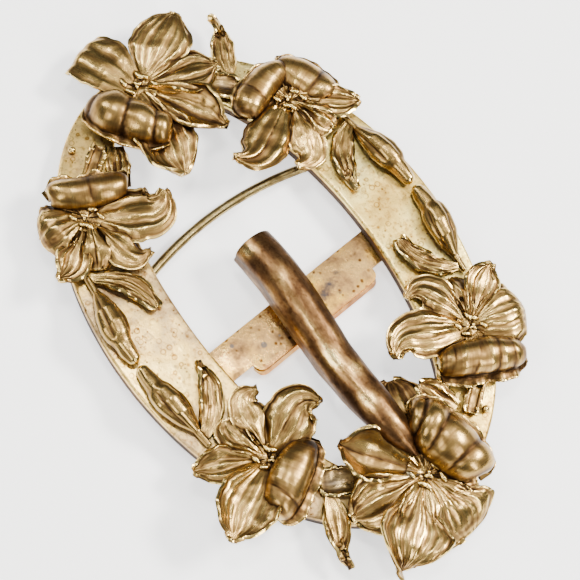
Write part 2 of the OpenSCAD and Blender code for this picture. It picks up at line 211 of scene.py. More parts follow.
def apply_modifier(piece, kind, **settings):
    pick(piece)
    modifier = piece.modifiers.new(kind.lower(), kind)
    for key, value in settings.items():
        setattr(modifier, key, value)
    bpy.ops.object.modifier_apply(modifier=modifier.name)


def smooth_shade(piece, angle):
    pick(piece)
    bpy.ops.object.shade_smooth_by_angle(angle=math.radians(angle))


def point_outwards():
    """Turns the active piece's faces outwards."""
    bpy.ops.object.mode_set(mode="EDIT")
    bpy.ops.mesh.select_all(action="SELECT")
    bpy.ops.mesh.normals_make_consistent(inside=False)
    bpy.ops.object.mode_set(mode="OBJECT")


def face_up(piece):
    """Turns an open sheet over if most of it looks down."""
    if sum(face.normal.z * face.area for face in piece.data.polygons) < 0:
        piece.data.flip_normals()


def set_relief(piece, values):
    """Keeps how high or sheltered each point of the metal lies: 0 is a dark hollow, 1 a worn ridge. On the castings and
    the plate the dark end is painted shade.
    """
    layer = piece.data.attributes.new("relief", "FLOAT", "POINT")
    layer.data.foreach_set("value", np.clip(np.broadcast_to(values, len(piece.data.vertices)), 0, 1))


def attribute(tree, name):
    return hook_up(tree, "Attribute", {"attribute_name": name}).outputs["Fac"]


def clouds(tree, place, scale, detail=2.0, roughness=0.5):
    """A cloudy pattern. Its scale is the number of clouds in a metre."""
    return hook_up(tree, "TexNoise", Vector=place, Scale=scale, Detail=detail, Roughness=roughness).outputs["Fac"]


def blend(tree, share, under, over, way="MIX"):
    return hook_up(tree, "MixRGB", {"blend_type": way}, Fac=share, Color1=under, Color2=over).outputs[0]


def reckon(tree, operation, *values):
    sockets = {"i%d" % k: value for k, value in enumerate(values)}
    return hook_up(tree, "Math", {"operation": operation}, **sockets).outputs[0]


def bumps(tree, *layers):
    """Lays bumps over one another, each a pattern with its strength and its height in metres."""
    below = {}
    for pattern, strength, height in layers:
        bump = hook_up(tree, "Bump", Height=pattern, Strength=strength, Distance=height, **below)
        below = {"Normal": bump.outputs[0]}
    return below["Normal"]


def grey(value):
    return (value, value, value)


def distance_from(tree, place, x, y, z):
    return hook_up(tree, "VectorMath", {"operation": "DISTANCE"}, i0=place, i1=(x * MM, y * MM, z * MM)).outputs["Value"]


def spots(tree, place, base, table, height, colour, ringed=False):
    """Lays round stains, each at its own place, over a colour."""
    stops = [(0.34, grey(0)), (0.45, grey(0.75)), (0.56, grey(0))] if ringed else [(0.36, grey(0.9)), (0.55, grey(0))]
    for x, y, size in table:
        share = reckon(tree, "DIVIDE", distance_from(tree, place, x, y, height), size * 2 * MM)
        base = blend(tree, ramp(tree, share, stops), base, colour)
    return base


def peppered(tree, place, base, scale, mark, patch_scale, patch_from, patch_to):
    """Darkens a colour with small marks, one in each cell of a random pattern, in cloudy patches."""
    cells = hook_up(tree, "TexVoronoi", Vector=place, Scale=scale, Randomness=1.0).outputs["Distance"]
    patches = ramp(tree, clouds(tree, place, patch_scale), [(patch_from, grey(0)), (patch_to, grey(0.95))])
    return blend(tree, patches, base, ramp(tree, cells, mark), "MULTIPLY")


def plate_gilt():
    metal, tree, paint = shader("worn_pale_gilt")
    place = hook_up(tree, "TexCoord").outputs["Object"]
    cloud = clouds(tree, place, 120.0, 5.0, 0.6)
    fine = clouds(tree, place, 1500.0, 3.0, 0.6)
    brushed_way = hook_up(tree, "Mapping", Vector=place, Rotation=(0, 0, 0.6), Scale=(300.0, 5200.0, 1.0)).outputs[0]
    # Painted light: the gilt turns lighter and yellower towards the far side.
    across = hook_up(tree, "SeparateXYZ", Vector=place).outputs["Y"]
    far_side_light = hook_up(tree, "MapRange", Value=across, From_Min=-0.015, From_Max=0.012).outputs["Result"]
    base = blend(tree, far_side_light, ramp(tree, cloud, LOWER_GILT), ramp(tree, cloud, FAR_SIDE_LIT_GILT))
    tint = ramp(tree, fine, [(0.30, (0.50, 0.36, 0.22)), (0.50, grey(1))])
    base = blend(tree, 0.8, base, tint, "MULTIPLY")
    ring = [(0.18, grey(1)), (0.27, (0.38, 0.26, 0.12)), (0.36, grey(1))]
    base = peppered(tree, place, base, 620.0, ring, 170.0, 0.42, 0.56)
    base = peppered(tree, place, base, 1300.0, [(0.12, SPECK_BROWN), (0.28, grey(1))], 360.0, 0.44, 0.55)
    base = spots(tree, place, base, PLATE_PITS, FACE_Z, (0.10, 0.055, 0.03, 1))
    base = spots(tree, place, base, PLATE_RINGS, FACE_Z, (0.34, 0.22, 0.10, 1), ringed=True)
    # Painted shade: where the plate's relief is low, on its walls and round the castings, the gilt is darkened to a
    # rough brown that is not metal.
    ragged = reckon(tree, "MULTIPLY_ADD", cloud, 0.5, attribute(tree, "relief"))
    rough_in_painted_shade = ramp(tree, ragged, [(0.36, grey(0.8)), (0.75, grey(0))])
    worn = ramp(tree, cloud, [(0.3, grey(0.46)), (0.7, grey(0.28))])
    set_inputs(
        tree, paint, Base_Color=blend(tree, 1.0, base, ramp(tree, ragged, PAINTED_SHADE_BROWNS), "MULTIPLY"),
        Metallic=ramp(tree, ragged, [(0.36, grey(0)), (0.68, grey(1))]),
        Roughness=blend(tree, 1.0, worn, rough_in_painted_shade, "LIGHTEN"),
        Normal=bumps(tree, (clouds(tree, brushed_way, 1.0), 0.35, 0.00002), (fine, 0.4, 0.00003), (cloud, 0.7, 0.0004)))
    return metal


clear_selection()
bpy.ops.mesh.primitive_circle_add(vertices=320, radius=1)
plate = bpy.context.object
plate.name = "plate"
bpy.ops.object.mode_set(mode="EDIT")
bpy.ops.mesh.select_all(action="SELECT")
bpy.ops.transform.resize(value=(PLATE_A * MM, PLATE_B * MM, 1))
bpy.ops.transform.translate(value=(0, 0, -RIM_DEPTH * MM))
edge_angles = [math.radians(k) for k in range(0, 91, 18)]
turn_in = [(EDGE_R * (1 - math.cos(a)), EDGE_R * (1 - math.sin(a))) for a in edge_angles]
rings = [(PLATE_A, PLATE_B, drop) for drop in WALL_STEPS]
rings += [(PLATE_A - inset, PLATE_B - inset, drop) for inset, drop in turn_in]
for k in range(1, FACE_RINGS):
    u = k / FACE_RINGS
    ring_a = PLATE_A - EDGE_R + u * (WINDOW_A - PLATE_A + 2 * EDGE_R)
    ring_b = PLATE_B - EDGE_R + u * (WINDOW_B - PLATE_B + 2 * EDGE_R)
    rings.append((ring_a, ring_b, 0))
rings += [(WINDOW_A + inset, WINDOW_B + inset, drop) for inset, drop in turn_in[::-1]]
rings += [(WINDOW_A, WINDOW_B, drop) for drop in WALL_STEPS[::-1]]
for (a0, b0, drop0), (a1, b1, drop1) in zip(rings, rings[1:]):
    bpy.ops.mesh.extrude_region_move(TRANSFORM_OT_translate={"value": (0, 0, (drop0 - drop1) * MM)})
    bpy.ops.transform.resize(value=(a1 / a0, b1 / b0, 1), center_override=(0, 0, 0))
point_outwards()
face_up(plate)
shape = read_mm(plate)
waves = [sum(noise.noise(Vector(point) * close) * deep for close, deep in PLATE_DENTS) for point in shape]
shape[:, 2] += plate_z(shape[:, 0]) + np.array(waves)
write_mm(plate, shape)
apply_modifier(plate, "SOLIDIFY", thickness=SHEET * MM, offset=-1)
smooth_shade(plate, 50)
plate.data.materials.append(plate_gilt())
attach(plate, "frame")
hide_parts("frame_plate")

# ---- Cross bar ----
# Flat strip soldered under the window's long sides. Its middle is wider, and there the front edge is
# rolled down to carry the tongue. Gilt above with tarnish spots, bare copper colour along the roll.
BAR_W, BAR_LEN, BAR_T = 5.9, 38.4, 1.0
BAR_TOP = PLATE_MID - 2.7
BAR_AT, BAR_SKEW = 2.34, math.radians(5.0)
ROLL_X, ROLL_R, ROLL_LEN, ROLL_MID = 7.75, 0.95, 26.0, 1.0
SLOT_MID, SLOT_W = -1.6, 3.2
CORNER_R = 1.4
LEDGE = 0.9
COPPER_FROM, COPPER_BLUR = 7.3, 0.8
END_CUTS = (0, 0.15, 0.4, 0.8, 1.4)
BAR_GILT = [
    (0.34, (0.13, 0.070, 0.024)), (0.44, (0.40, 0.215, 0.058)), (0.52, (0.66, 0.380, 0.070)), (0.66, (0.90, 0.570, 0.11))]
LILAC = [(0.38, (0.15, 0.090, 0.052)), (0.62, (0.55, 0.340, 0.17))]
COPPER = [(0.35, (0.36, 0.14, 0.05)), (0.55, (0.72, 0.33, 0.11)), (0.75, (0.86, 0.54, 0.22))]
# Stains: x, y and size
BLUE_CLOUDS = [(5.3, 6.9, 1.15), (6.5, 5.1, 0.8), (4.4, 9.2, 0.7), (7.4, 7.4, 0.45)]
BAR_SPOTS = [(4.85, -12.5, 0.38), (7.55, -8.1, 0.58), (7.7, -5.1, 0.22)]
BAR_RINGS = [(6.9, -5.9, 0.35), (3.4, -7.6, 0.3), (6.3, -9.6, 0.3), (4.9, 11.8, 0.3)]


def onto_bar(places):
    """Turns and moves places on the bar's own left edge to where the bar lies."""
    x, y, z = np.asarray(places, float).T
    turn, turn_up = math.cos(BAR_SKEW), math.sin(BAR_SKEW)
    return np.stack([BAR_AT + x * turn - y * turn_up, x * turn_up + y * turn, z], 1)


def bar_gilt():
    metal, tree, paint = shader("tarnished_bar_gilt")
    place = hook_up(tree, "TexCoord").outputs["Object"]
    cloud = clouds(tree, place, 260.0, 6.0, 0.65)
    fine = clouds(tree, place, 1900.0, 3.0)
    pink_share = ramp(tree, clouds(tree, place, 90.0), [(0.50, grey(0)), (0.60, grey(0.55))])
    base = blend(tree, pink_share, ramp(tree, cloud, BAR_GILT), ramp(tree, cloud, LILAC))
    base = peppered(tree, place, base, 900.0, [(0.16, SPECK_BROWN), (0.32, grey(1))], 300.0, 0.42, 0.52)
    base = blend(tree, attribute(tree, "relief"), base, ramp(tree, cloud, COPPER))
    for x, y, size in BLUE_CLOUDS:
        wobble = reckon(tree, "MULTIPLY_ADD", cloud, size * MM * 4.5, distance_from(tree, place, x, y, BAR_TOP))
        share = reckon(tree, "DIVIDE", wobble, size * MM * 5.0)
        base = blend(tree, ramp(tree, share, [(0.42, grey(0.95)), (0.68, grey(0))]), base, (0.050, 0.047, 0.055, 1))
    base = spots(tree, place, base, BAR_SPOTS, BAR_TOP, (0.11, 0.095, 0.085, 1))
    set_inputs(
        tree, paint, Base_Color=spots(tree, place, base, BAR_RINGS, BAR_TOP, (0.20, 0.12, 0.06, 1), ringed=True),
        Metallic=1.0, Roughness=ramp(tree, cloud, [(0.35, grey(0.40)), (0.65, grey(0.20))]),
        Normal=bumps(tree, (fine, 0.5, 0.00004), (cloud, 0.6, 0.00015)))
    return metal


def select_faces(piece, wanted):
    """Selects the faces whose middle, in millimetres, and normal the test accepts."""
    bpy.ops.object.mode_set(mode="OBJECT")
    for part in (piece.data.polygons, piece.data.edges, piece.data.vertices):
        part.foreach_set("select", [False] * len(part))
    for face in piece.data.polygons:
        face.select = bool(wanted(face.center / MM, face.normal))
    bpy.ops.object.mode_set(mode="EDIT")
    bpy.ops.mesh.select_mode(type="FACE")


def on_wide_edge(centre, normal):
    return normal.x > 0.9 and wide_from < centre.y < wide_to and abs(centre.y - SLOT_MID) > SLOT_W / 2


clear_selection()
bpy.ops.mesh.primitive_cube_add(size=1)
bar = bpy.context.object
bar.name = "bar"
bpy.ops.object.mode_set(mode="EDIT")
bpy.ops.mesh.select_all(action="SELECT")
bpy.ops.transform.resize(value=(BAR_W * MM, BAR_LEN * MM, BAR_T * MM))
bpy.ops.transform.translate(value=(BAR_W / 2 * MM, 0, (BAR_TOP - BAR_T / 2) * MM))
wide_from, wide_to = ROLL_MID - ROLL_LEN / 2, ROLL_MID + ROLL_LEN / 2
cuts = [SLOT_MID - SLOT_W / 2, SLOT_MID + SLOT_W / 2]
cuts += [wide_from + cut for cut in END_CUTS] + [wide_to - cut for cut in END_CUTS]
for y in sorted(cuts):
    bpy.ops.mesh.select_all(action="SELECT")
    bpy.ops.mesh.bisect(plane_co=(0, y * MM, 0), plane_no=(0, 1, 0))
select_faces(bar, on_wide_edge)
bpy.ops.mesh.extrude_region_move(TRANSFORM_OT_translate={"value": (LEDGE * MM, 0, 0)})
bpy.ops.mesh.extrude_region_move(TRANSFORM_OT_translate={"value": ((ROLL_X - BAR_W - LEDGE) * MM, 0, 0)})
bpy.ops.mesh.spin(steps=14, angle=math.radians(215), center=(ROLL_X * MM, 0, (BAR_TOP - ROLL_R) * MM), axis=(0, 1, 0))
bpy.ops.object.mode_set(mode="OBJECT")
shape = read_mm(bar)
# The wide part's corners are rounded by drawing the rows near its ends back towards the strip.
from_end = np.minimum(np.abs(shape[:, 1] - wide_from), np.abs(shape[:, 1] - wide_to))
inside = CORNER_R - np.clip(from_end, 0, CORNER_R)
past = np.clip((shape[:, 0] - BAR_W) / (ROLL_X - BAR_W), 0, 1)
drawn_back = (CORNER_R - np.sqrt(CORNER_R ** 2 - inside ** 2)) * 0.98
shape[:, 0] -= drawn_back * past * (shape[:, 0] > BAR_W + 0.01)
write_mm(bar, onto_bar(shape))
set_relief(bar, np.clip((shape[:, 0] - COPPER_FROM) / COPPER_BLUR, 0, 1))
apply_modifier(bar, "BEVEL", width=0.12 * MM, segments=3, limit_method="ANGLE", angle_limit=math.radians(50))
smooth_shade(bar, 50)
bar.data.materials.append(bar_gilt())
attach(bar, "frame")
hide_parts("cross_bar")

# ---- Sash wire ----
# Drawn brass wire bowed across the window, its ends soldered under the rim. The sash's sewn end
# goes round it. Dull and mottled.
WIRE_D, WIRE_BOW = 1.6, 61.0
WIRE_MID = (45.8, 2.5)
WIRE_FROM, WIRE_SWEEP = math.radians(165.0), math.radians(35.0)
WIRE_GAP = 0.15
WIRE_Z = BAR_TOP - WIRE_GAP - WIRE_D / 2
WIRE_BRASS = [(0.32, (0.09, 0.060, 0.022)), (0.48, (0.22, 0.160, 0.062)), (0.68, (0.42, 0.33, 0.15))]


def wire_brass():
    metal, tree, paint = shader("drawn_wire_brass")
    cloud = clouds(tree, hook_up(tree, "TexCoord").outputs["Object"], 500.0, 4.0, 0.6)
    set_inputs(
        tree, paint, Base_Color=ramp(tree, cloud, WIRE_BRASS), Metallic=1.0,
        Roughness=ramp(tree, cloud, [(0.3, grey(0.40)), (0.7, grey(0.22))]), Normal=bumps(tree, (cloud, 0.4, 0.0001)))
    return metal


clear_selection()
bpy.ops.mesh.primitive_circle_add(vertices=28, radius=WIRE_D / 2 * MM, fill_type="NGON")
wire = bpy.context.object
wire.name = "wire"
shape = read_mm(wire)
reach = WIRE_BOW + shape[:, 0]
x, y = WIRE_MID[0] + reach * math.cos(WIRE_FROM), WIRE_MID[1] + reach * math.sin(WIRE_FROM)
write_mm(wire, np.stack([x, y, WIRE_Z + shape[:, 1]], 1))
bpy.ops.object.mode_set(mode="EDIT")
bpy.ops.mesh.select_all(action="SELECT")
bpy.ops.mesh.spin(steps=70, angle=-WIRE_SWEEP, center=[v * MM for v in (*WIRE_MID, WIRE_Z)], axis=(0, 0, 1))
point_outwards()
smooth_shade(wire, 50)
wire.data.materials.append(wire_brass())
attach(wire, "frame")
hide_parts("sash_wire")

# ---- Tongue ----
# Stamped brass trough, open underneath, that runs from a blunt cut end over the bar to a point on
# the right end lily. Red brown patina, worn to bright metal along its back, with a streak of painted reflection.
TONGUE_WALL = 0.7
TONGUE_ROWS = np.array([
    # x, y, height of the bow's centre, half width, depth of the straight lips under the bow. These are
    # the sheet's inner side, and the wall lies outside it
    [-6.3, -0.70, 6.2, 2.75, 1.6],
    [-4.0, -0.70, 7.0, 2.75, 2.0],
    [0.0, -0.70, 7.9, 2.70, 2.5],
    [4.0, -0.80, 8.0, 2.70, 2.6],
    [10.0, -1.00, 7.5, 2.65, 2.3],
    [16.0, -1.30, 6.9, 2.55, 1.7],
    [22.0, -1.20, 7.0, 2.50, 1.2],
    [26.0, -1.10, 7.4, 2.40, 0.6],
    [30.0, -0.80, 7.5, 2.00, 0.3],
    [33.0, -0.55, 7.3, 1.25, 0.2],
    [36.2, -0.30, 7.0, 0.25, 0.1]])
PATINA = [
    (0.14, (0.070, 0.034, 0.014)), (0.36, (0.170, 0.088, 0.034)), (0.54, (0.32, 0.185, 0.066)),
    (0.70, (0.68, 0.43, 0.15)), (0.9, (0.90, 0.68, 0.28))]
PLAIN_PATINA, RING_PATINA = 0.22, 0.12
WEAR_AND_GLINT_PATCHES = [
    # along, round the back in radians, how bare or bright, length, width. The row at 9 mm along is a streak of painted
    # reflection, the rest are wear
    (-4.9, -0.80, 0.70, 1.5, 0.40), (1.5, -0.15, 0.30, 2.0, 0.40), (9.0, -0.40, 0.55, 6.0, 0.18),
    (16.6, -0.40, 0.75, 2.0, 0.40), (19.6, 0.30, 0.45, 1.5, 0.40), (25.0, -0.40, 0.65, 2.0, 0.45),
    (14.0, 0.55, 0.22, 4.0, 0.30), (8.0, -1.25, 0.30, 9.0, 0.25), (29.5, 0.10, 0.30, 1.6, 0.30)]
RING_ALONG, RING_W, RING_WALL, RING_PLAY = -1.6, 2.4, 0.6, 0.25
LUG_T, LUG_FROM, LUG_TOP = 1.2, BAR_TOP + RING_PLAY + 0.1, 9.4


def flat_grid(along, across):
    """A flat sheet, with each point's place across it, from 1 to -1, and along it, from 0 to 1."""
    clear_selection()
    bpy.ops.mesh.primitive_grid_add(x_subdivisions=across, y_subdivisions=along, size=2)
    sheet = bpy.context.object
    flat = read_mm(sheet) * MM
    return sheet, -flat[:, 0], (flat[:, 1] + 1) / 2


def eased(at, places, values, blur):
    """Runs a rounded line through a table's rows."""
    fine = np.linspace(places[0], places[-1], 400)
    line = np.interp(fine, places, values)
    reach = max(1, int(blur / (fine[1] - fine[0])))
    kernel = np.hanning(2 * reach + 3)
    padded = np.concatenate([2 * line[0] - line[reach + 1:0:-1], line, 2 * line[-1] - line[-2:-reach - 3:-1]])
    return np.interp(at, fine, np.convolve(padded, kernel / kernel.sum(), "valid"))


def patina():
    metal, tree, paint = shader("red_brown_patina")
    place = hook_up(tree, "TexCoord").outputs["Object"]
    stretched = hook_up(tree, "Mapping", Vector=place, Scale=(0.55, 1.0, 1.0)).outputs[0]
    cloud = clouds(tree, stretched, 330.0, 5.0, 0.62)
    fine = clouds(tree, place, 1600.0, 4.0)
    worn = reckon(tree, "MULTIPLY_ADD", cloud, 1.5, attribute(tree, "relief"))
    worn = reckon(tree, "SUBTRACT", worn, 0.75)
    specks = ramp(tree, fine, [(0.34, (0.45, 0.36, 0.3)), (0.5, grey(1))])
    set_inputs(
        tree, paint, Base_Color=blend(tree, 0.6, ramp(tree, worn, PATINA), specks, "MULTIPLY"), Metallic=1.0,
        Roughness=ramp(tree, worn, [(0.2, grey(0.40)), (0.8, grey(0.24))]),
        Normal=bumps(tree, (fine, 0.35, 0.00003), (cloud, 0.8, 0.00020)))
    return metal


tongue, around, s = flat_grid(150, 44)
tongue.name = "tongue_trough"
blunt_end, point_end = TONGUE_ROWS[0, 0], TONGUE_ROWS[-1, 0]
x = blunt_end + (point_end - blunt_end) * s
y, z, half, lip = (eased(x, TONGUE_ROWS[:, 0], TONGUE_ROWS[:, k], 1.6) for k in range(1, 5))
half = np.where(x > 30, half * np.clip((point_end + 1 - x) / 5.6, 0.05, 1) ** 0.12, half)
bow_length = math.pi * half
run = around * (bow_length / 2 + lip)
arc = np.clip(run / half, -math.pi / 2, math.pi / 2)
below = np.maximum(np.abs(run) - bow_length / 2, 0)
radius = half + 0.10 * np.array([noise.noise(Vector((a * 0.22, b * 0.8, 3.0))) for a, b in zip(x, run)])
bulge = 0.3 * np.cos(arc) * np.exp(-(x - blunt_end) / 1.6)
write_mm(tongue, np.stack([x - bulge, y + radius * np.sin(arc), z + radius * np.cos(arc) - below], 1))
# Wear, and one streak of painted reflection, lighten the patina.
worn = sum(bare * np.exp(-((x - at) / length) ** 2 - ((arc - turn) / width) ** 2)
           for at, turn, bare, length, width in WEAR_AND_GLINT_PATCHES)
set_relief(tongue, PLAIN_PATINA + worn)
thin = tongue.vertex_groups.new(name="wall")
for index, weight in enumerate(np.minimum(TONGUE_WALL, half * 0.55) / TONGUE_WALL):
    thin.add([index], float(weight), "REPLACE")
face_up(tongue)
apply_modifier(tongue, "SOLIDIFY", thickness=TONGUE_WALL * MM, offset=1, vertex_group="wall")
apply_modifier(tongue, "BEVEL", width=0.14 * MM, segments=2, limit_method="ANGLE", angle_limit=math.radians(60))
smooth_shade(tongue, 50)
patina_metal = patina()
tongue.data.materials.append(patina_metal)
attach(tongue, "tongue")
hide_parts("tongue")

# The ring under the trough runs on the bar's rolled edge, and a short lug holds it to the trough.
clear_selection()
bpy.ops.mesh.primitive_circle_add(vertices=64, radius=(ROLL_R + RING_PLAY + RING_WALL) * MM)
ring = bpy.context.object
ring.name = "tongue_ring"
bpy.ops.object.mode_set(mode="EDIT")
bpy.ops.mesh.select_all(action="SELECT")
bpy.ops.mesh.extrude_region_move(TRANSFORM_OT_translate={"value": (0, 0, RING_W * MM)})
point_outwards()
apply_modifier(ring, "SOLIDIFY", thickness=RING_WALL * MM, offset=-1)
x, y, z = read_mm(ring).T
write_mm(ring, onto_bar(np.stack([ROLL_X + x, RING_ALONG + z - RING_W / 2, BAR_TOP - ROLL_R + y], 1)))
clear_selection()
bpy.ops.mesh.primitive_cube_add(size=1)
lug = bpy.context.object
x, y, z = read_mm(lug).T * MM
tall = LUG_FROM + (z + 0.5) * (LUG_TOP - LUG_FROM)
write_mm(lug, onto_bar(np.stack([ROLL_X + x * LUG_T, RING_ALONG + y * RING_W, tall], 1)))
pick(ring, lug)
bpy.ops.object.join()
point_outwards()
set_relief(ring, RING_PATINA)
apply_modifier(ring, "BEVEL", width=0.1 * MM, segments=2, limit_method="ANGLE", angle_limit=math.radians(50))
smooth_shade(ring, 50)
ring.data.materials.append(patina_metal)
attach(ring, "tongue")
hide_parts("tongue")

# ---- Lilies ----
# Cast brass flowers of six petals on a solder boss. Each petal is a curled leaf of metal with raised
# ribs, a thin rim and, on the rolled ones, round swellings between creases. Gilt, with painted shade in the hollows.
# Petals and rolls: directions and turns in degrees, lengths in millimetres, the rest shares or counts.
PETAL_COLUMNS = (
    "dir length half rise bend curl cup0 cup1 turn hook widest blunt flute base ribs rib lobes swell wave "
    "tip rim").split()
ROLL_COLUMNS = "dir foot off half wrap fan radius rise bend flange square lobes swell ribs rib wave lean skew".split()
PETAL_WALL = 0.55
PETAL_GRID, ROLL_GRID = (62, 46), (80, 54)  # faces along and across
PETAL_STEPS, ROLL_STEPS = 240, 600  # along the middle line
PETAL_FOOT, ROLL_FOOT = 0.9, 0.6  # how far from the centre they begin
SHELTER_DEPTH, SKY_WAYS = 3.5, 22
GOLDEN_ANGLE = 2.399963
FILAMENT, ANTHER = 0.16, (0.46, 0.95, 0.36)
GILT_TONES = [
    (0.04, (0.046, 0.023, 0.009)),
    (0.24, (0.150, 0.080, 0.027)),
    (0.46, (0.345, 0.205, 0.064)),
    (0.68, (0.580, 0.375, 0.115)),
    (0.92, (0.870, 0.625, 0.210))]
TARNISHED = [
    # x, y, height and spread of the blue black spots that have stayed on the castings
    (-44.3, 2.0, 9.0, 1.5), (-42.5, -0.6, 8.0, 1.2), (-20.8, -7.6, 7.5, 1.2),
    (32.0, -12.6, 5.3, 1.8), (-32.0, 12.6, 5.3, 1.3), (37.6, -2.8, 7.0, 1.0)]


def smooth_step(a, b, x):
    u = np.clip((x - a) / (b - a), 0, 1)
    return u * u * (3 - 2 * u)


def cast_gilt(name, shade):
    metal, tree, paint = shader(name)
    place = hook_up(tree, "TexCoord").outputs["Object"]
    along = hook_up(tree, "TexCoord").outputs["UV"]
    cloud = clouds(tree, place, 380.0, 4.0, 0.6)
    fine = clouds(tree, place, 2300.0, 3.0, 0.6)
    hair = clouds(tree, hook_up(tree, "Mapping", Vector=along, Scale=(42.0, 1.5, 1.0)).outputs[0], 1.0, 3.0)
    # The relief, which carries painted shade and painted highlight, darkens or lightens the gilt.
    tone = reckon(tree, "MULTIPLY_ADD", cloud, 0.55, attribute(tree, "relief"))
    tone = reckon(tree, "MULTIPLY_ADD", hair, 0.35, tone)
    tone = reckon(tree, "SUBTRACT", tone, 0.45)
    gold = ramp(tree, tone, [(at, [c * shade for c in tint]) for at, tint in GILT_TONES])
    blue_black = ramp(tree, cloud, [(0.35, (0.05, 0.055, 0.055)), (0.65, (0.20, 0.19, 0.15))])
    broken = ramp(tree, cloud, [(0.35, grey(1)), (0.62, grey(0.45))])
    stained = reckon(tree, "MULTIPLY", attribute(tree, "tarnish"), broken)
    set_inputs(
        tree, paint, Base_Color=blend(tree, stained, gold, blue_black), Metallic=1.0,
        Roughness=ramp(tree, tone, [(0.15, grey(0.46)), (0.5, grey(0.30)), (0.9, grey(0.20))]),
        Normal=bumps(tree, (fine, 0.45, 0.00004), (hair, 0.35, 0.00006), (cloud, 0.35, 0.00012)))
    return metal


lily_gilt = cast_gilt("cast_lily_gilt", 0.76)
# A lighter copy of the lily gilt for the curled left lily, whose petals the lamps leave dark: painted light.
lit_lily_gilt = cast_gilt("painted_light_lily_gilt", 0.90)


def paint_shade_and_wear(piece):
    """Paints shade into a finished casting's relief where it is sheltered from the sky, in hollows and near the plate,
    and lightens its ridges as wear; also marks its tarnish spots.
    """
    mesh = piece.data
    points = read_mm(piece)
    facing = np.empty(len(points) * 3)
    mesh.vertices.foreach_get("normal", facing)
    facing = facing.reshape(-1, 3)
    ends = np.empty(len(mesh.edges) * 2, int)
    mesh.edges.foreach_get("vertices", ends)
    a, b = ends.reshape(-1, 2).T
    count = np.bincount(a, minlength=len(points)) + np.bincount(b, minlength=len(points)) + 1e-9

    def around(values):
        return (np.bincount(a, values[b], len(points)) + np.bincount(b, values[a], len(points))) / count

    step = points[b] - points[a]
    step /= np.linalg.norm(step, axis=1)[:, None] + 1e-9
    dip_a, dip_b = (step * facing[a]).sum(1), (step * facing[b]).sum(1)
    hollow = (np.bincount(a, dip_a, len(points)) - np.bincount(b, dip_b, len(points))) / count
    hollow = (hollow + around(hollow)) / 2
    tree = BVHTree.FromPolygons(points.tolist(), [tuple(face.vertices) for face in mesh.polygons])
    turns = [(math.acos(1 - (2 * k + 1) / SKY_WAYS), GOLDEN_ANGLE * k) for k in range(SKY_WAYS)]
    sky_ways = [Vector((math.sin(u) * math.cos(v), math.sin(u) * math.sin(v), math.cos(u))) for u, v in turns]
    share = np.maximum(facing @ np.array(sky_ways).T - 0.12, 0)
    start = (points + facing * 0.03).tolist()
    closed = np.full(len(points), 0.45)
    for index in np.flatnonzero(facing[:, 2] > -0.35):
        hidden, origin, parts_of = 0.0, start[index], share[index]
        for way in np.flatnonzero(parts_of):
            reach = tree.ray_cast(origin, sky_ways[way], SHELTER_DEPTH)[3]
            if reach is not None:
                hidden += parts_of[way] * (1 - reach / SHELTER_DEPTH)
        closed[index] = hidden / parts_of.sum()
    for _ in range(2):
        closed = 0.5 * closed + 0.5 * around(closed)
    near_plate = np.exp(-np.maximum(points[:, 2] - plate_z(points[:, 0]), 0) / 0.45)
    over_plate = (points[:, 0] / PLATE_A) ** 2 + (points[:, 1] / PLATE_B) ** 2 < 1.02
    relief = np.empty(len(points))
    mesh.attributes["relief"].data.foreach_get("value", relief)
    # Painted shade: sheltered points, hollows and points near the plate are darkened; convex ridges are lightened as
    # wear.
    relief = relief - 1.05 * closed - 1.6 * np.clip(hollow, -0.16, 0.22) - 0.35 * near_plate * over_plate
    mesh.attributes["relief"].data.foreach_set("value", np.clip(relief, 0, 1))
    tarnish = sum(np.exp(-(((points - (x, y, z)) / size) ** 2).sum(1)) for x, y, z, size in TARNISHED)
    mesh.attributes.new("tarnish", "FLOAT", "POINT").data.foreach_set("value", np.clip(tarnish, 0, 1))


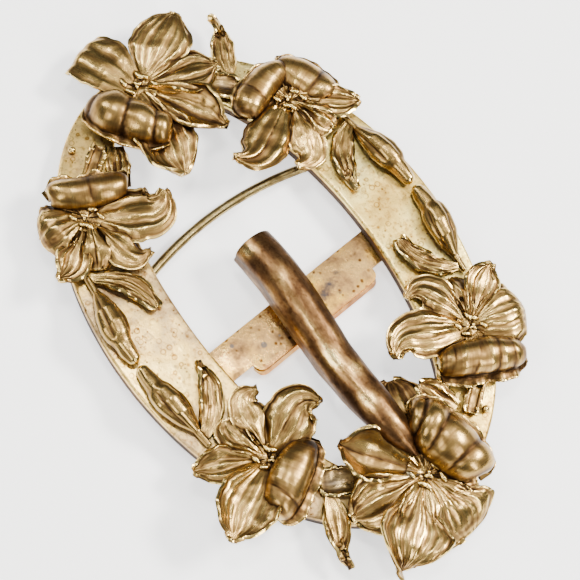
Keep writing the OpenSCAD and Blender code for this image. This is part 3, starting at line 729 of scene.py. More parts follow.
def petal_sheet(row, along, across, seed):
    """The plain curled sheet of one petal or leaf on its own middle line, its foot beside the centre."""
    p = dict(zip(PETAL_COLUMNS, list(row) + [0] * (len(PETAL_COLUMNS) - len(row))))
    blade, t, s = flat_grid(along, across)

    def slope(s):
        return np.radians(p["rise"] - p["bend"] * s - p["curl"] * smooth_step(0.6, 1, s))

    def heading(s):
        return np.radians(p["dir"] + p["turn"] * s + p["hook"] * smooth_step(0.6, 1, s))

    fine = (np.arange(PETAL_STEPS) + 0.5) / PETAL_STEPS
    el, az = slope(fine), heading(fine)
    step = np.stack([np.cos(el) * np.cos(az), np.cos(el) * np.sin(az), np.sin(el)], 1) * p["length"] / PETAL_STEPS
    foot = np.array([math.cos(math.radians(p["dir"])), math.sin(math.radians(p["dir"])), 0]) * PETAL_FOOT
    line = np.concatenate([[foot], foot + np.cumsum(step, 0)])
    mid = np.stack([np.interp(s, np.linspace(0, 1, PETAL_STEPS + 1), line[:, k]) for k in range(3)], 1)
    el, az = slope(s), heading(s)
    side = np.stack([-np.sin(az), np.cos(az), 0 * az], 1)
    up = np.stack([-np.sin(el) * np.cos(az), -np.sin(el) * np.sin(az), np.cos(el)], 1)
    cup = np.radians(p["cup0"] + (p["cup1"] - p["cup0"]) * s)
    cup = np.where(np.abs(cup) < 0.02, 0.02, cup)
    widest, tip = p["widest"], p["tip"]
    swelling = p["base"] + (1 - p["base"]) * np.sin(np.pi / 2 * np.minimum(s / widest, 1))
    drawn_in = np.cos(np.radians(89.5 * np.clip((s - widest) / (1 - tip - widest), 0, 1))) ** p["blunt"]
    if tip:
        drawn_in = np.maximum(drawn_in, 0.26 * np.clip((1 - s) / tip, 0, 1))
    width = p["half"] * np.where(s < widest, swelling, np.maximum(0.04, drawn_in))
    ragged = 0.022 * np.sin(9 * s + seed) + 0.022 * np.sin(23 * s + 2 * seed + np.sign(t))
    ragged += 0.014 * np.sin(47 * s + 3 * seed - np.sign(t))
    width = width * (1 + ragged * smooth_step(0.1, 0.4, s))
    angle = cup * t
    bow = width / cup
    edge = smooth_step(0.55, 1, np.abs(t)) * smooth_step(0.1, 0.4, s)
    flute = p["flute"] * np.sin(np.pi * s) * np.cos(3 * np.pi * t)
    wavy = p["wave"] * edge * np.sin(2 * np.pi * (2.0 * s + 0.3 * np.sign(t)) + seed)
    raised = 0 * s
    if p["rim"]:
        way = math.copysign(1, p["rim"])
        raised = abs(p["rim"]) * smooth_step(0.45, 1, t * way) ** 1.5 * smooth_step(0.12, 0.5, s)
    places = mid + side * (bow * np.sin(angle) - np.sign(p["rim"]) * 0.35 * raised)[:, None]
    places = places + up * (bow * (1 - np.cos(angle)) + flute + wavy + raised)[:, None]
    grid = (along + 1, across + 1)
    return {"blade": blade, "row": p, "seed": seed, "s": s.reshape(grid), "t": t.reshape(grid),
            "places": places.reshape(grid + (3,))}


def roll_sheet(row, along, across, seed):
    """A petal rolled back over the throat's side: a flat foot, then a fat roll with rounded ends and a flared rim."""
    p = dict(zip(ROLL_COLUMNS, row))
    blade, t, s = flat_grid(along, across)
    foot_long, arc_long = p["foot"] - ROLL_FOOT, p["radius"] * math.radians(p["bend"])
    total = foot_long + arc_long + p["flange"]
    near, far = foot_long / total, (foot_long + arc_long) / total
    fine = (np.arange(ROLL_STEPS) + 0.5) / ROLL_STEPS
    slope = p["rise"] - p["bend"] * np.clip((fine - near) / (far - near), 0, 1)
    slope = slope + (-8 - p["rise"] + p["bend"]) * smooth_step(far - 0.02, far + 0.45 * (1 - far), fine)
    reach = np.where(fine > near, 1.0, 0.0) * total / ROLL_STEPS
    run = np.concatenate([[0], np.cumsum(np.cos(np.radians(slope)) * reach)])
    climb = np.concatenate([[0], np.cumsum(np.sin(np.radians(slope)) * reach)])
    run, climb = (np.interp(s, np.linspace(0, 1, ROLL_STEPS + 1), line) for line in (run, climb))
    size = np.maximum(1 - np.abs(t) ** p["square"], 0) ** (1 / p["square"])
    size = (0.16 + 0.84 * size) * (1 + p["lean"] * t)
    frill = smooth_step(far - 0.06, 1, s)
    ripple = np.sin(2.6 * np.pi * t + seed) + 0.5 * np.sin(6.1 * np.pi * t + 2 * seed)
    wide = p["half"] * t
    on_foot = np.clip(s / near, 0, 1)
    edge_out = p["foot"] + p["wrap"] * t * t + 0.45 * p["radius"] * (1 - size)
    out_by = ROLL_FOOT + (edge_out - ROLL_FOOT) * on_foot
    side_by = (p["off"] + wide) * (0.12 + 0.88 * on_foot)
    way, turned = math.radians(p["dir"]), np.radians(p["dir"] + p["fan"] * t)
    run = run * size + 0.5 * p["wave"] * ripple * frill
    x = out_by * math.cos(way) - side_by * math.sin(way) + run * np.cos(turned)
    y = out_by * math.sin(way) + side_by * math.cos(way) + run * np.sin(turned)
    z = climb * size - 0.12 + p["wave"] * ripple * frill
    grid = (along + 1, across + 1)
    return {"blade": blade, "row": p, "seed": seed, "s": s.reshape(grid), "t": t.reshape(grid),
            "swell_at": np.clip((s - near) / (far - near), 0, 1) * 0.9,
            "places": np.stack([x, y, z], 1).reshape(grid + (3,))}


def run_together(sheets, reach):
    """Draws neighbouring petals' sides together out to a distance, as they run into one another in the casting."""
    sheets = sorted(sheets, key=lambda sheet: sheet["row"]["dir"] % 360)
    moves = [np.zeros_like(sheet["places"]) for sheet in sheets]
    for k, one in enumerate(sheets):
        other = (k + 1) % len(sheets)
        two = sheets[other]
        if (two["row"]["dir"] - one["row"]["dir"]) % 360 > 100:
            continue
        pairs = ((one, 0, two, -1, k), (two, -1, one, 0, other))
        for sheet, column, mate, mate_column, index in pairs:
            away = sheet["s"][:, column] * sheet["row"]["length"]
            mate_away = mate["s"][:, mate_column] * mate["row"]["length"]
            mate_edge, edge = mate["places"][:, mate_column], sheet["places"][:, column]
            meets = np.stack([np.interp(away, mate_away, mate_edge[:, axis]) for axis in range(3)], 1)
            hold = 1 - smooth_step(reach * 0.45, reach * 1.6, away)
            near_side = smooth_step(-0.2, 1.1, sheet["t"] * (1 if column == 0 else -1)) / smooth_step(-0.2, 1.1, 1)
            moves[index] += near_side[:, :, None] * (hold[:, None] * (meets - edge) / 2)[:, None, :]
    for sheet, move in zip(sheets, moves):
        sheet["places"] = sheet["places"] + move


def finish_petal(sheet):
    """Gives a sheet its ribs, round swellings, thin raised rim and thickness."""
    p, seed, blade = sheet["row"], sheet["seed"], sheet["blade"]
    places = sheet["places"]
    out = np.cross(np.gradient(places, axis=1), np.gradient(places, axis=0))
    for _ in range(2):
        out[1:-1] = (out[:-2] + out[2:] + 2 * out[1:-1]) / 4
    out = (out / (np.linalg.norm(out, axis=2) + 1e-9)[:, :, None]).reshape(-1, 3)
    places, s, t = places.reshape(-1, 3), sheet["s"].ravel(), sheet["t"].ravel()
    count = p["ribs"]
    u = count * ((t + 1) / 2 + 0.03 * np.sin(4 * s + seed) * (1 - t * t) + 0.012 * np.sin(13 * s + 2 * seed))
    own = 0.65 + 0.35 * np.sin(2.4 * np.round(u) + seed) ** 2
    ridge = (1 - np.abs(np.sin(np.pi * u)) ** 0.8) * own
    fade = smooth_step(0.06, 0.26, s) * (1 - 0.55 * smooth_step(0.62, 0.98, s))
    hairs = np.sin(6 * np.pi * u + 2 * np.sin(5 * s + seed))
    hairs = (hairs + 0.6 * np.sin(10 * np.pi * u + 3 * np.sin(3 * s + 2 * seed))) * min(1, p["rib"] / 0.12)
    ribbed = p["rib"] * (1.05 * ridge - 0.25) * fade + 0.006 * hairs * fade
    lobes = p["lobes"]
    if lobes:
        winding = 0.07 * np.sin(2.6 * s + seed) * (1 - t * t) + 0.04 * np.sin(np.pi * t + seed)
        v = lobes * (((t + 1) / 2) ** p.get("skew", 1) + winding)
        puff = np.abs(np.sin(np.pi * v)) ** 0.6
        upon = sheet.get("swell_at", s)
        swollen = smooth_step(0.04, 0.26, upon) * (1 - 0.75 * smooth_step(0.78, 1, upon))
        lifted = p["swell"] * (puff * (0.72 + 0.28 * np.sin(2.3 * np.floor(v) + seed)) - 0.45) * swollen
        crease = (1 - puff) ** 2 * swollen * smooth_step(0.12, 0.4, s)
    else:
        lifted = crease = 0 * s
    border = np.maximum(np.abs(t), s)
    lip = (0.13 * smooth_step(0.90, 0.975, np.abs(t)) + 0.12 * smooth_step(0.95, 0.99, s)) * smooth_step(0.30, 0.55, s)
    lip = lip * (0.8 + 0.3 * np.sin(17 * s + 2 * t + seed))
    # Rolled petals are calmer and painted a little darker all over: painted shade.
    calm, painted_roll_shade = (0.5, 0.10) if "swell_at" in sheet else (1.0, 0.0)
    uneven = np.array([noise.noise(Vector(q) * 0.38 + Vector((seed * 3.7, 0, 0))) for q in places]) * 0.22 * calm
    grainy = np.array([noise.noise(Vector(q) * 1.3 + Vector((seed * 3.7, 5, 0))) for q in places]) * 0.035 * calm
    places = places + out * (ribbed + lifted + lip + (uneven + grainy) * smooth_step(0.05, 0.3, s))[:, None]
    write_mm(blade, places)
    # Painted shade and light in the relief: a thin dark line just inside the rim and dark creases between swellings are
    # painted shade, and the raised rim is painted light as highlight and edge wear. Ribs are lighter than their
    # grooves, and the foot is lighter.
    painted_line_inside_rim = np.exp(-((border - 0.87) / 0.045) ** 2) * smooth_step(0.15, 0.4, s)
    relief = 0.60 + 0.34 * (ridge - 0.3) * fade * min(1, p["rib"] / 0.08) + 0.03 * hairs * fade - 0.5 * crease
    relief += 0.12 * (1 - smooth_step(0.02, 0.30, s)) - painted_roll_shade + 2.2 * lip - 0.22 * painted_line_inside_rim
    relief += 0.35 * uneven + 0.9 * grainy
    set_relief(blade, relief)
    apply_modifier(blade, "SOLIDIFY", thickness=PETAL_WALL * MM, offset=-1)
    apply_modifier(blade, "BEVEL", width=0.09 * MM, segments=2, limit_method="ANGLE", angle_limit=math.radians(62))
    return blade


def fuse(pieces, name):
    pick(*pieces)
    bpy.ops.object.join()
    pieces[0].name = name
    return pieces[0]


def set_on_plate(piece, at, height, half_turn):
    """Stands a casting square on the bent plate, and turns the left half's castings half a turn."""
    lean = math.asin(at[0] / BEND_R)
    x, y, z = read_mm(piece).T
    z = z + height
    x, z = x * math.cos(lean) + z * math.sin(lean), z * math.cos(lean) - x * math.sin(lean)
    shape = np.stack([x + at[0], y + at[1], z + plate_z(at[0])], 1)
    if half_turn:
        shape[:, :2] *= -1
    write_mm(piece, shape)


def blob(place, size, turn=0.0, tilt=0.0, relief=0.75):
    clear_selection()
    bpy.ops.mesh.primitive_uv_sphere_add(segments=18, ring_count=12)
    drop = bpy.context.object
    shape = read_mm(drop) * MM * np.array(size)
    x, y, z = shape.T
    x, z = x * math.cos(tilt) - z * math.sin(tilt), x * math.sin(tilt) + z * math.cos(tilt)
    x, y = x * math.cos(turn) - y * math.sin(turn), x * math.sin(turn) + y * math.cos(turn)
    write_mm(drop, np.stack([x, y, z], 1) + np.array(place))
    set_relief(drop, relief)
    return drop


def rod(start, end, r0, r1, relief):
    clear_selection()
    bpy.ops.mesh.primitive_cone_add(vertices=14, radius1=r0 * MM, radius2=r1 * MM, depth=2 * MM)
    stick = bpy.context.object
    a, b = Vector(start), Vector(end)
    turned = (b - a).to_track_quat("Z", "Y").to_matrix()
    shape = [a + turned @ Vector((x, y, (z + 1) / 2 * (b - a).length)) for x, y, z in read_mm(stick)]
    write_mm(stick, shape)
    set_relief(stick, relief)
    return stick


def stamens(count, first, sweep, reach, size, height):
    made = []
    for k in range(count):
        a = math.radians(first + sweep * k / (count - 1) + 14 * math.sin(2.3 * k))
        far_out = reach * (0.80 + 0.20 * math.cos(1.9 * k + 0.6))
        near = (reach * 0.15 * math.cos(a), reach * 0.15 * math.sin(a), height)
        far = (far_out * math.cos(a), far_out * math.sin(a), height + 0.55 + 0.12 * math.sin(3 * k))
        made.append(rod(near, far, FILAMENT * size, FILAMENT * size * 0.6, 0.45))
        made.append(blob(far, [v * size for v in ANTHER], a + 1.1 * math.sin(2 * k + 1), 0.15 * math.cos(k), 0.95))
    made.append(rod((0, 0, height - 0.6), (0.3, 0.2, height + 0.45), 0.42 * size, 0.34 * size, 0.6))
    for a in (math.radians(20), math.radians(140), math.radians(260)):
        tip = (0.3 + 0.36 * size * math.cos(a), 0.2 + 0.36 * size * math.sin(a), height + 0.5)
        made.append(blob(tip, (0.46 * size, 0.32 * size, 0.26 * size), a, 0, 0.95))
    return made


def throat_dish(radius, height, seed):
    """The flower's flat throat, where the six petals run together in fine rays."""
    dish, t, s = flat_grid(14, 120)
    turn, r = -math.pi * t, radius * s
    rays = 1 - np.abs(np.sin(15 * turn)) ** 0.8
    z = height + 0.12 + 0.10 * (r / radius) ** 2 + 0.12 * (rays - 0.4) * smooth_step(0.6, 2, r)
    places = np.stack([r * np.cos(turn), r * np.sin(turn), z], 1)
    places[:, 2] += [noise.noise(Vector(q) * 0.9 + Vector((seed, 0, 0))) * 0.22 for q in places]
    write_mm(dish, places)
    set_relief(dish, 0.72 + 0.25 * (rays - 0.4))
    bpy.ops.object.mode_set(mode="EDIT")
    bpy.ops.mesh.select_all(action="SELECT")
    bpy.ops.mesh.remove_doubles(threshold=0.002 * MM)
    point_outwards()
    face_up(dish)
    apply_modifier(dish, "SOLIDIFY", thickness=0.5 * MM, offset=-1)
    return dish


def gild(casting, gilt):
    smooth_shade(casting, 55)
    paint_shade_and_wear(casting)
    casting.data.materials.append(gilt)


def lily(name, rows, rolls, at, core, half_turn, extras=(), gilt=lily_gilt):
    throat, (boss_x, boss_y, boss_r) = core["throat"], core["boss"]
    sheets = [petal_sheet(row, *PETAL_GRID, 1.3 * k + len(name)) for k, row in enumerate(rows)]
    run_together(sheets, core["reach"])
    sheets += [roll_sheet(row, *ROLL_GRID, 2.1 * k + len(name)) for k, row in enumerate(rolls)]
    parts = [finish_petal(sheet) for sheet in sheets]
    for part in parts:
        write_mm(part, read_mm(part) + np.array([0, 0, throat]))
    parts.append(rod((boss_x, boss_y, 0), (0, 0, throat - 0.8), boss_r, 1.2, 0.15))
    parts.append(throat_dish(core["dish"], throat, len(name)))
    parts += stamens(*core["anthers"], throat)
    flower = fuse(parts, name)
    set_on_plate(flower, at, SEAT_GAP, half_turn)
    if extras:
        flower = fuse([flower, *extras], name)
    gild(flower, gilt)
    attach(flower, "frame")
    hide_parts(name.replace("_casting", ""))


# A flower's core: its throat's height, the boss's foot and radius, the stamens' number, first angle, sweep,
# length and size, the dish's radius, and how far out the petals run together.
BIG_CORE = {"throat": 2.4, "boss": (2.1, 0.4, 2.4), "anthers": (5, -120, 210, 2.7, 1.05), "dish": 3.1, "reach": 6.0}
SMALL_CORE = {"throat": 2.0, "boss": (0, 0, 3), "anthers": (5, 60, 230, 2.2, 0.88), "dish": 2.4, "reach": 4.6}
END_AT, CURLED_AT, SIDE_AT = (38.9, -0.5), (23.3, -19.6), (24.3, 20.2)

#    dir  length half rise bend curl cup0 cup1 turn hook widest blunt flute base ribs rib lobes swell wave tip rim
END_RIGHT = [
    (-52, 16.0, 6.4, 15, 10, 70, 28, 5, 3, 6, 0.50, 0.70, 0.15, 0.45, 10, 0.15, 0, 0, 0.30, 0.08, -1.5),
    (4, 11.8, 7.4, 16, 50, 20, 12, -8, 0, 0, 0.62, 0.32, 0.15, 0.50, 10, 0.13, 0, 0, 0.30, 0, 0),
    (52, 7.5, 4.6, 12, 25, 0, 5, 0, 0, 0, 0.60, 0.30, 0.10, 0.70, 6, 0.10, 0, 0, 0.1, 0, 0),
    (161, 15.5, 5.0, -6, 12, 10, 10, 5, 0, 0, 0.65, 0.40, 0.25, 0.50, 7, 0.20, 0, 0, 0.2, 0, 0),
    (220, 13.6, 5.0, -6, -6, 10, 50, 78, -8, 0, 0.62, 0.45, 0.10, 0.50, 3, 0.06, 2, 0.40, 0.20, 0.08, 0),
    (266, 13.0, 4.9, 12, 32, 0, 22, -5, 0, 0, 0.62, 0.34, 0.20, 0.50, 7, 0.16, 0, 0, 0.2, 0.06, -0.7)]
END_LEFT = [
    (-62, 14.2, 4.9, 22, 25, 10, -6, -18, 5, 0, 0.58, 0.50, 0.10, 0.40, 7, 0.14, 0, 0, 0.25, 0.04, 0),
    (24, 14.6, 4.8, 24, 45, 110, 12, -30, 0, 0, 0.55, 0.20, 0.10, 0.75, 5, 0.06, 0, 0, 0.2, 0, 0.4),
    (166, 17.0, 5.0, 5, 15, -5, 15, 20, 5, 0, 0.60, 0.50, 0.15, 0.50, 7, 0.16, 0, 0, 0.15, 0.04, -0.8),
    (208, 15.2, 5.2, -8, -14, 10, 55, 88, 0, 5, 0.60, 0.50, 0.10, 0.50, 5, 0.08, 2, 0.45, 0.15, 0.10, 0),
    (250, 12.6, 4.2, 15, 20, -10, 20, -10, 0, 0, 0.65, 0.60, 0.20, 0.50, 5, 0.20, 0, 0, 0.15, 0.05, 0)]
CURLED_RIGHT = [
    (-64, 14.0, 5.2, 18, 15, 0, 38, 45, 5, 5, 0.55, 0.55, 0.10, 0.45, 9, 0.08, 0, 0, 0.25, 0.08, 0),
    (241, 11.0, 3.0, 5, 25, 0, 30, 25, 5, 5, 0.50, 0.60, 0.10, 0.50, 4, 0.10, 0, 0, 0.15, 0.05, 0),
    (200, 8.4, 3.3, 20, 45, 0, -10, -30, -10, -30, 0.65, 0.35, 0.20, 0.60, 5, 0.24, 0, 0, 0.1, 0, 0),
    (170, 12.0, 2.9, 18, 45, -35, -15, -25, 0, -100, 0.50, 0.55, 0.10, 0.50, 3, 0.16, 0, 0, 0.1, 0.05, 0),
    (118, 12.4, 4.5, 25, 32, -35, -15, -28, 0, -100, 0.48, 0.60, 0.10, 0.50, 5, 0.12, 2, 0.5, 0.2, 0.06, 0)]
CURLED_LEFT = [
    (230, 10.8, 3.0, 5, 10, -10, 25, 20, 8, 5, 0.60, 0.60, 0.10, 0.50, 5, 0.18, 0, 0, 0.12, 0.05, 0),
    (200, 8.0, 3.7, 24, 45, 0, -12, -28, 0, 0, 0.70, 0.34, 0.20, 0.60, 4, 0.26, 0, 0, 0.1, 0, 0),
    (167, 13.0, 3.2, 17, 50, -45, -20, -28, -10, -85, 0.50, 0.60, 0.10, 0.50, 3, 0.14, 0, 0, 0.1, 0.05, 0),
    (116, 15.8, 4.3, 12, 14, -20, -24, -34, 5, -75, 0.48, 0.62, 0.15, 0.60, 4, 0.08, 2, 1.0, 0.2, 0.06, 0)]
SIDE_RIGHT = [
    (76, 10.7, 5.3, 30, 62, 35, -22, -30, 0, 0, 0.55, 0.35, 0.10, 0.50, 8, 0.14, 0, 0, 0.15, 0, 0),
    (130, 10.5, 2.9, 11, 15, 0, 22, 12, -5, -20, 0.60, 0.60, 0.10, 0.50, 5, 0.16, 0, 0, 0.1, 0.08, 0),
    (158, 8.3, 2.9, 24, 60, 0, -25, -35, 8, 0, 0.60, 0.40, 0.10, 0.60, 4, 0.16, 0, 0, 0.1, 0, 0),
    (184, 12.5, 3.1, 24, 60, -15, -18, -28, 35, 75, 0.50, 0.60, 0.10, 0.50, 4, 0.14, 0, 0, 0.1, 0.06, 0),
    (246, 15.0, 4.1, 20, 35, -10, -14, -18, 0, 85, 0.45, 0.55, 0.15, 0.50, 6, 0.16, 0, 0, 0.12, 0.08, 0)]
SIDE_LEFT = [
    (82, 8.3, 5.6, 28, 76, 30, -32, -30, 0, 0, 0.60, 0.30, 0.10, 0.55, 7, 0.12, 2, 0.3, 0.15, 0, 0),
    (130, 11.0, 2.8, 5, 15, -15, 25, 15, 0, -45, 0.60, 0.60, 0.10, 0.50, 5, 0.20, 0, 0, 0.12, 0.08, 0),
    (163, 8.4, 3.9, 26, 62, 10, -32, -40, -10, 0, 0.70, 0.36, 0.10, 0.50, 2, 0.06, 2, 0.6, 0.1, 0, 0),
    (192, 12.0, 3.0, 20, 50, -40, -18, -35, 0, 80, 0.60, 0.70, 0.10, 0.45, 3, 0.10, 0, 0, 0.1, 0.05, 0),
    (236, 13.8, 4.8, 18, 25, -30, -15, -28, 8, 80, 0.53, 0.62, 0.15, 0.45, 5, 0.18, 0, 0, 0.2, 0.05, 0)]
#    dir foot off half wrap fan radius rise bend flange square lobes swell ribs rib wave lean skew
END_RIGHT_ROLLS = [(104, 1.8, 0.9, 7.0, 0.6, 26, 4.3, 102, 196, 1.0, 2.2, 4, 0.95, 9, 0.015, 0.22, -0.04, 1.15)]
END_LEFT_ROLLS = [(121, 3.3, 1.1, 6.9, 0.3, 16, 3.6, 104, 192, 1.1, 2.2, 3, 1.0, 8, 0.015, 0.32, 0.00, 1.5)]
CURLED_RIGHT_ROLLS = [(28, 0.9, -0.9, 6.2, 0.9, 14, 3.1, 105, 195, 1.9, 2.6, 2, 0.45, 8, 0.03, 0.25, -0.12, 0.5)]
CURLED_LEFT_ROLLS = [
    (21, 2.4, 0.8, 5.8, -0.8, 18, 2.9, 82, 172, 0.7, 2.3, 2, 0.30, 6, 0.04, 0.20, 0.1, 1.6),
    (-68, 2.0, 0, 4.7, 0, 24, 3.6, 58, 132, 0.5, 2.3, 2, 0.25, 5, 0.05, 0.15, 0, 0.7)]
SIDE_RIGHT_ROLLS = [(-25, 2.3, 0.5, 7.1, 0.9, 12, 2.9, 105, 200, 1.8, 2.6, 5, 0.12, 7, 0.09, 0.55, 0, 0.9)]
SIDE_LEFT_ROLLS = [(-25, 1.4, -1.0, 6.2, 0.9, 12, 2.8, 96, 188, 1.1, 3.0, 2, 0.30, 6, 0.03, 0.40, 0, 0.8)]
END_SEPAL = (203, 7.0, 2.2, 5, 5, 0, 10, 10, 0, 0, 0.50, 0.40, 0.15, 0.60, 5, 0.22, 0, 0, 0.15)
END_LEFT_SEPAL = (149, 6.8, 1.7, 5, 5, 0, 10, 10, 0, 0, 0.50, 0.30, 0.15, 0.70, 4, 0.22, 0, 0, 0.15)


def leaf(row, at, height, half_turn, along=40, across=24, seed=0.0):
    blade = finish_petal(petal_sheet(row, along, across, seed))
    set_on_plate(blade, at, height, half_turn)
    return blade


lily("end_lily_right_casting", END_RIGHT, END_RIGHT_ROLLS, END_AT, BIG_CORE, False,
     [leaf(END_SEPAL, (34.4, 10.7), 1.2, False, seed=2.0)])
lily("end_lily_left_casting", END_LEFT, END_LEFT_ROLLS, END_AT, BIG_CORE, True,
     [leaf(END_LEFT_SEPAL, (33.3, 8.2), 1.2, True, seed=4.0)])
lily("curled_lily_right_casting", CURLED_RIGHT, CURLED_RIGHT_ROLLS, CURLED_AT, SMALL_CORE, False)
lily("curled_lily_left_casting", CURLED_LEFT, CURLED_LEFT_ROLLS, CURLED_AT, SMALL_CORE, True, gilt=lit_lily_gilt)
lily("side_lily_right_casting", SIDE_RIGHT, SIDE_RIGHT_ROLLS, SIDE_AT, SMALL_CORE, False)
lily("side_lily_left_casting", SIDE_LEFT, SIDE_LEFT_ROLLS, SIDE_AT, SMALL_CORE, True)

# ---- Bud sprays ----
# A long closed bud, the step of its tip, a thin stem and one narrow leaf, cast in one and soldered
# flat on the plate. Darker gilt than the flowers, with brown along the grooves.
BUD_ROWS = np.array([
    # x, y, height of the middle, half width, half height
    [0.2, 27.5, 1.4, 0.35, 0.35],
    [0.8, 27.5, 1.4, 1.05, 0.95],
    [2.6, 27.5, 1.4, 1.4, 1.3],
    [4.2, 27.4, 1.5, 1.55, 1.35],
    [5.3, 27.3, 1.7, 2.05, 1.6],
    [7.5, 27.0, 1.8, 2.3, 1.8],
    [10.2, 26.6, 1.7, 1.9, 1.6],
    [12.4, 26.2, 1.2, 1.1, 1.0],
    [13.6, 26.0, 0.9, 0.6, 0.6],
    [16.6, 25.7, 0.9, 0.5, 0.5]])
BUD_LEAF_UPPER = (245, 11.4, 1.5, 5, 12, 0, 20, 10, -70, 0, 0.50, 0.30, 0.15, 0.40, 3, 0.34, 0, 0, 0.35)
BUD_LEAF_LOWER = (118, 12.6, 1.65, 5, 12, 0, 20, 10, 62, 0, 0.42, 0.60, 0.15, 0.45, 3, 0.34, 0, 0, 0.30, 0.14)
bud_gilt = cast_gilt("cast_bud_gilt", 0.66)


def bud(mirror, half_turn, seed):
    clear_selection()
    bpy.ops.mesh.primitive_uv_sphere_add(segments=56, ring_count=120)
    body = bpy.context.object
    unit = read_mm(body) * MM
    s = np.arccos(np.clip(unit[:, 2], -1, 1)) / math.pi
    phi = np.arctan2(unit[:, 1], unit[:, 0])
    x = BUD_ROWS[0, 0] + (BUD_ROWS[-1, 0] - BUD_ROWS[0, 0]) * s
    y, z, half_w, half_h = (eased(x, BUD_ROWS[:, 0], BUD_ROWS[:, k], 0.35) for k in range(1, 5))
    ends = np.clip(np.minimum(s, 1 - s) / 0.012, 0, 1) ** 0.5
    bulb = smooth_step(4.3, 6.4, x) * (1 - 0.6 * smooth_step(11.5, 13.5, x))
    tip = 1 - smooth_step(4.0, 5.0, x)
    wander = 0.35 * np.sin(0.35 * x + seed)
    ridge = np.abs(np.cos(2 * phi + wander + 0.4)) ** 0.6
    swell = 1 + 0.22 * (ridge - 0.72) * bulb + 0.09 * (np.abs(np.cos(1.5 * phi + 0.3)) ** 0.6 - 0.7) * tip
    around = zip(x * 0.45 + seed, np.cos(phi) * 1.2, np.sin(phi) * 1.2)
    grain = np.array([noise.noise(Vector(point)) for point in around]) * 0.07
    swell = (swell + grain) * ends
    middle = plate_z(x) + SEAT_GAP + z
    shape = np.stack([x, y + half_w * swell * np.sin(phi), middle + half_h * swell * np.cos(phi)], 1)
    step = np.exp(-((x - 4.65 - 0.25 * np.sin(2 * phi)) / 0.35) ** 2)
    relief = 0.60 - 0.45 * (1 - ridge) ** 2 * bulb - 0.16 * step + 0.25 * np.exp(-((x - 0.4) / 0.7) ** 2)
    if mirror:
        shape[:, 1] *= -1
    if half_turn:
        shape[:, :2] *= -1
    write_mm(body, shape)
    set_relief(body, relief + 1.5 * grain)
    point_outwards()
    return body


def spray(name, row, at, height, mirror, half_turn, seed):
    casting = fuse([bud(mirror, half_turn, seed), leaf(row, at, height, half_turn, seed=seed)], name + "_casting")
    gild(casting, bud_gilt)
    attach(casting, "frame")
    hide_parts(name)


spray("bud_spray_lower_right", BUD_LEAF_LOWER, (15.2, -26.4), 1.2, True, False, 0.4)
spray("bud_spray_upper_left", BUD_LEAF_LOWER, (15.2, -26.4), 1.2, True, True, 1.9)
spray("bud_spray_upper_right", BUD_LEAF_UPPER, (15.7, 25.9), 1.3, False, False, 3.1)
spray("bud_spray_lower_left", BUD_LEAF_UPPER, (15.7, 25.9), 1.3, False, True, 4.4)

# ---- Stem pieces ----
# Short open troughs that stand for the stems between the flowers, the ones at the ends with a
# narrow ribbed leaf that reaches past the rim.
END_LEAF = (-20, 12.0, 1.8, 5, 5, 0, 20, 10, -16, 40, 0.34, 0.85, 0.15, 0.40, 3, 0.32, 0, 0, 0.3, 0.22)
END_TROUGH = (238, 5.2, 2.3, -5, 5, 0, 50, 45, 0, 0, 0.50, 0.12, 0, 0.85, 3, 0.06, 0, 0, 0)
FLANK_DIR, FLANK_LEN = -51, 5.4
FLANK_FLOOR = (FLANK_DIR, FLANK_LEN, 1.2, 0, 0, 0, 50, 45, 0, 0, 0.50, 0.10, 0, 0.85)
RIDGE_R, RIDGE_OUT, RIDGE_BEND = 0.42, 1.05, 2.8
FLANK_AT = {"right": (31.4, 17.0), "left": (30.3, 15.6)}
FLANK_BOSS = (36.3, 14.7)


def stem(name, pieces):
    casting = fuse(pieces, name + "_casting")
    gild(casting, lily_gilt)
    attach(casting, "frame")
    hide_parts(name)


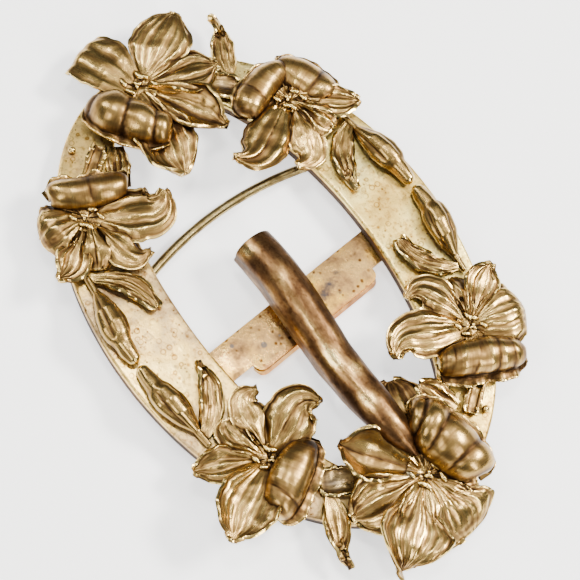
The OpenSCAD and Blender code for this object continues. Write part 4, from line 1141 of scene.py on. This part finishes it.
def flank_ridges(half_turn):
    """The stem's two raised edges, and the bead of solder at its foot."""
    run = Vector((math.cos(math.radians(FLANK_DIR)), math.sin(math.radians(FLANK_DIR)), 0))
    off = Vector((-run.y, run.x, 0)) * RIDGE_OUT
    made = []
    for side in (-1, 1):
        for start_at, end_at, spread in ((0.2, RIDGE_BEND, 1.06), (RIDGE_BEND, FLANK_LEN, 0.92)):
            start = run * start_at + off * side + Vector((0, 0, 0.75))
            end = run * end_at + off * side * spread + Vector((0, 0, 0.7))
            made.append(rod(start, end, RIDGE_R, RIDGE_R * 0.9, 0.75))
        made.append(blob(run * FLANK_LEN + off * side * 0.92 + Vector((0, 0, 0.7)), [RIDGE_R] * 3))
        made.append(blob(run * RIDGE_BEND + off * side + Vector((0, 0, 0.73)), [RIDGE_R] * 3))
    for part in made:
        set_on_plate(part, FLANK_AT["left" if half_turn else "right"], 0.2, half_turn)
    bead = blob((0, 0, 0), (0.62, 0.62, 0.5), relief=0.7)
    set_on_plate(bead, FLANK_BOSS, 0.75, half_turn)
    return made + [bead]


for side_name, half_turn, seed in (("right", False, 0.7), ("left", True, 2.9)):
    stem("end_stem_" + side_name, [
        leaf(END_TROUGH, (33.9, -9.4), 0.9, half_turn, 30, 30, seed),
        leaf(END_LEAF, (32.1, -14.3), 0.9, half_turn, 50, 30, seed)])
    stem("flank_stem_" + side_name, [
        leaf(FLANK_FLOOR, FLANK_AT[side_name], 0.75, half_turn, 30, 20, seed)] + flank_ridges(half_turn))

# ---- Painted shade on the plate round the castings ----
# A brown line of painted shade is laid where the plate meets each casting, and its turned down walls
# are painted dark as shade. The line is kept as the plate's own relief.
LOW_UNDER, LINE_FROM, LINE_W = 1.6, 0.15, 0.32
castings = [piece for piece in bpy.context.scene.objects if piece.name.endswith("_casting")]
low_points = np.concatenate([read_mm(piece) for piece in castings])
low_points = low_points[low_points[:, 2] - plate_z(low_points[:, 0]) < LOW_UNDER]
near = KDTree(len(low_points))
for index, point in enumerate(low_points):
    near.insert(point, index)
near.balance()
shape = read_mm(plate)
gap = np.array([near.find(point)[2] for point in shape])
sunk = plate_z(shape[:, 0]) - shape[:, 2]
line = np.exp(-np.maximum(gap - LINE_FROM, 0) / LINE_W)
set_relief(plate, 1 - line - 0.95 * smooth_step(0.35, 1.0, sunk))
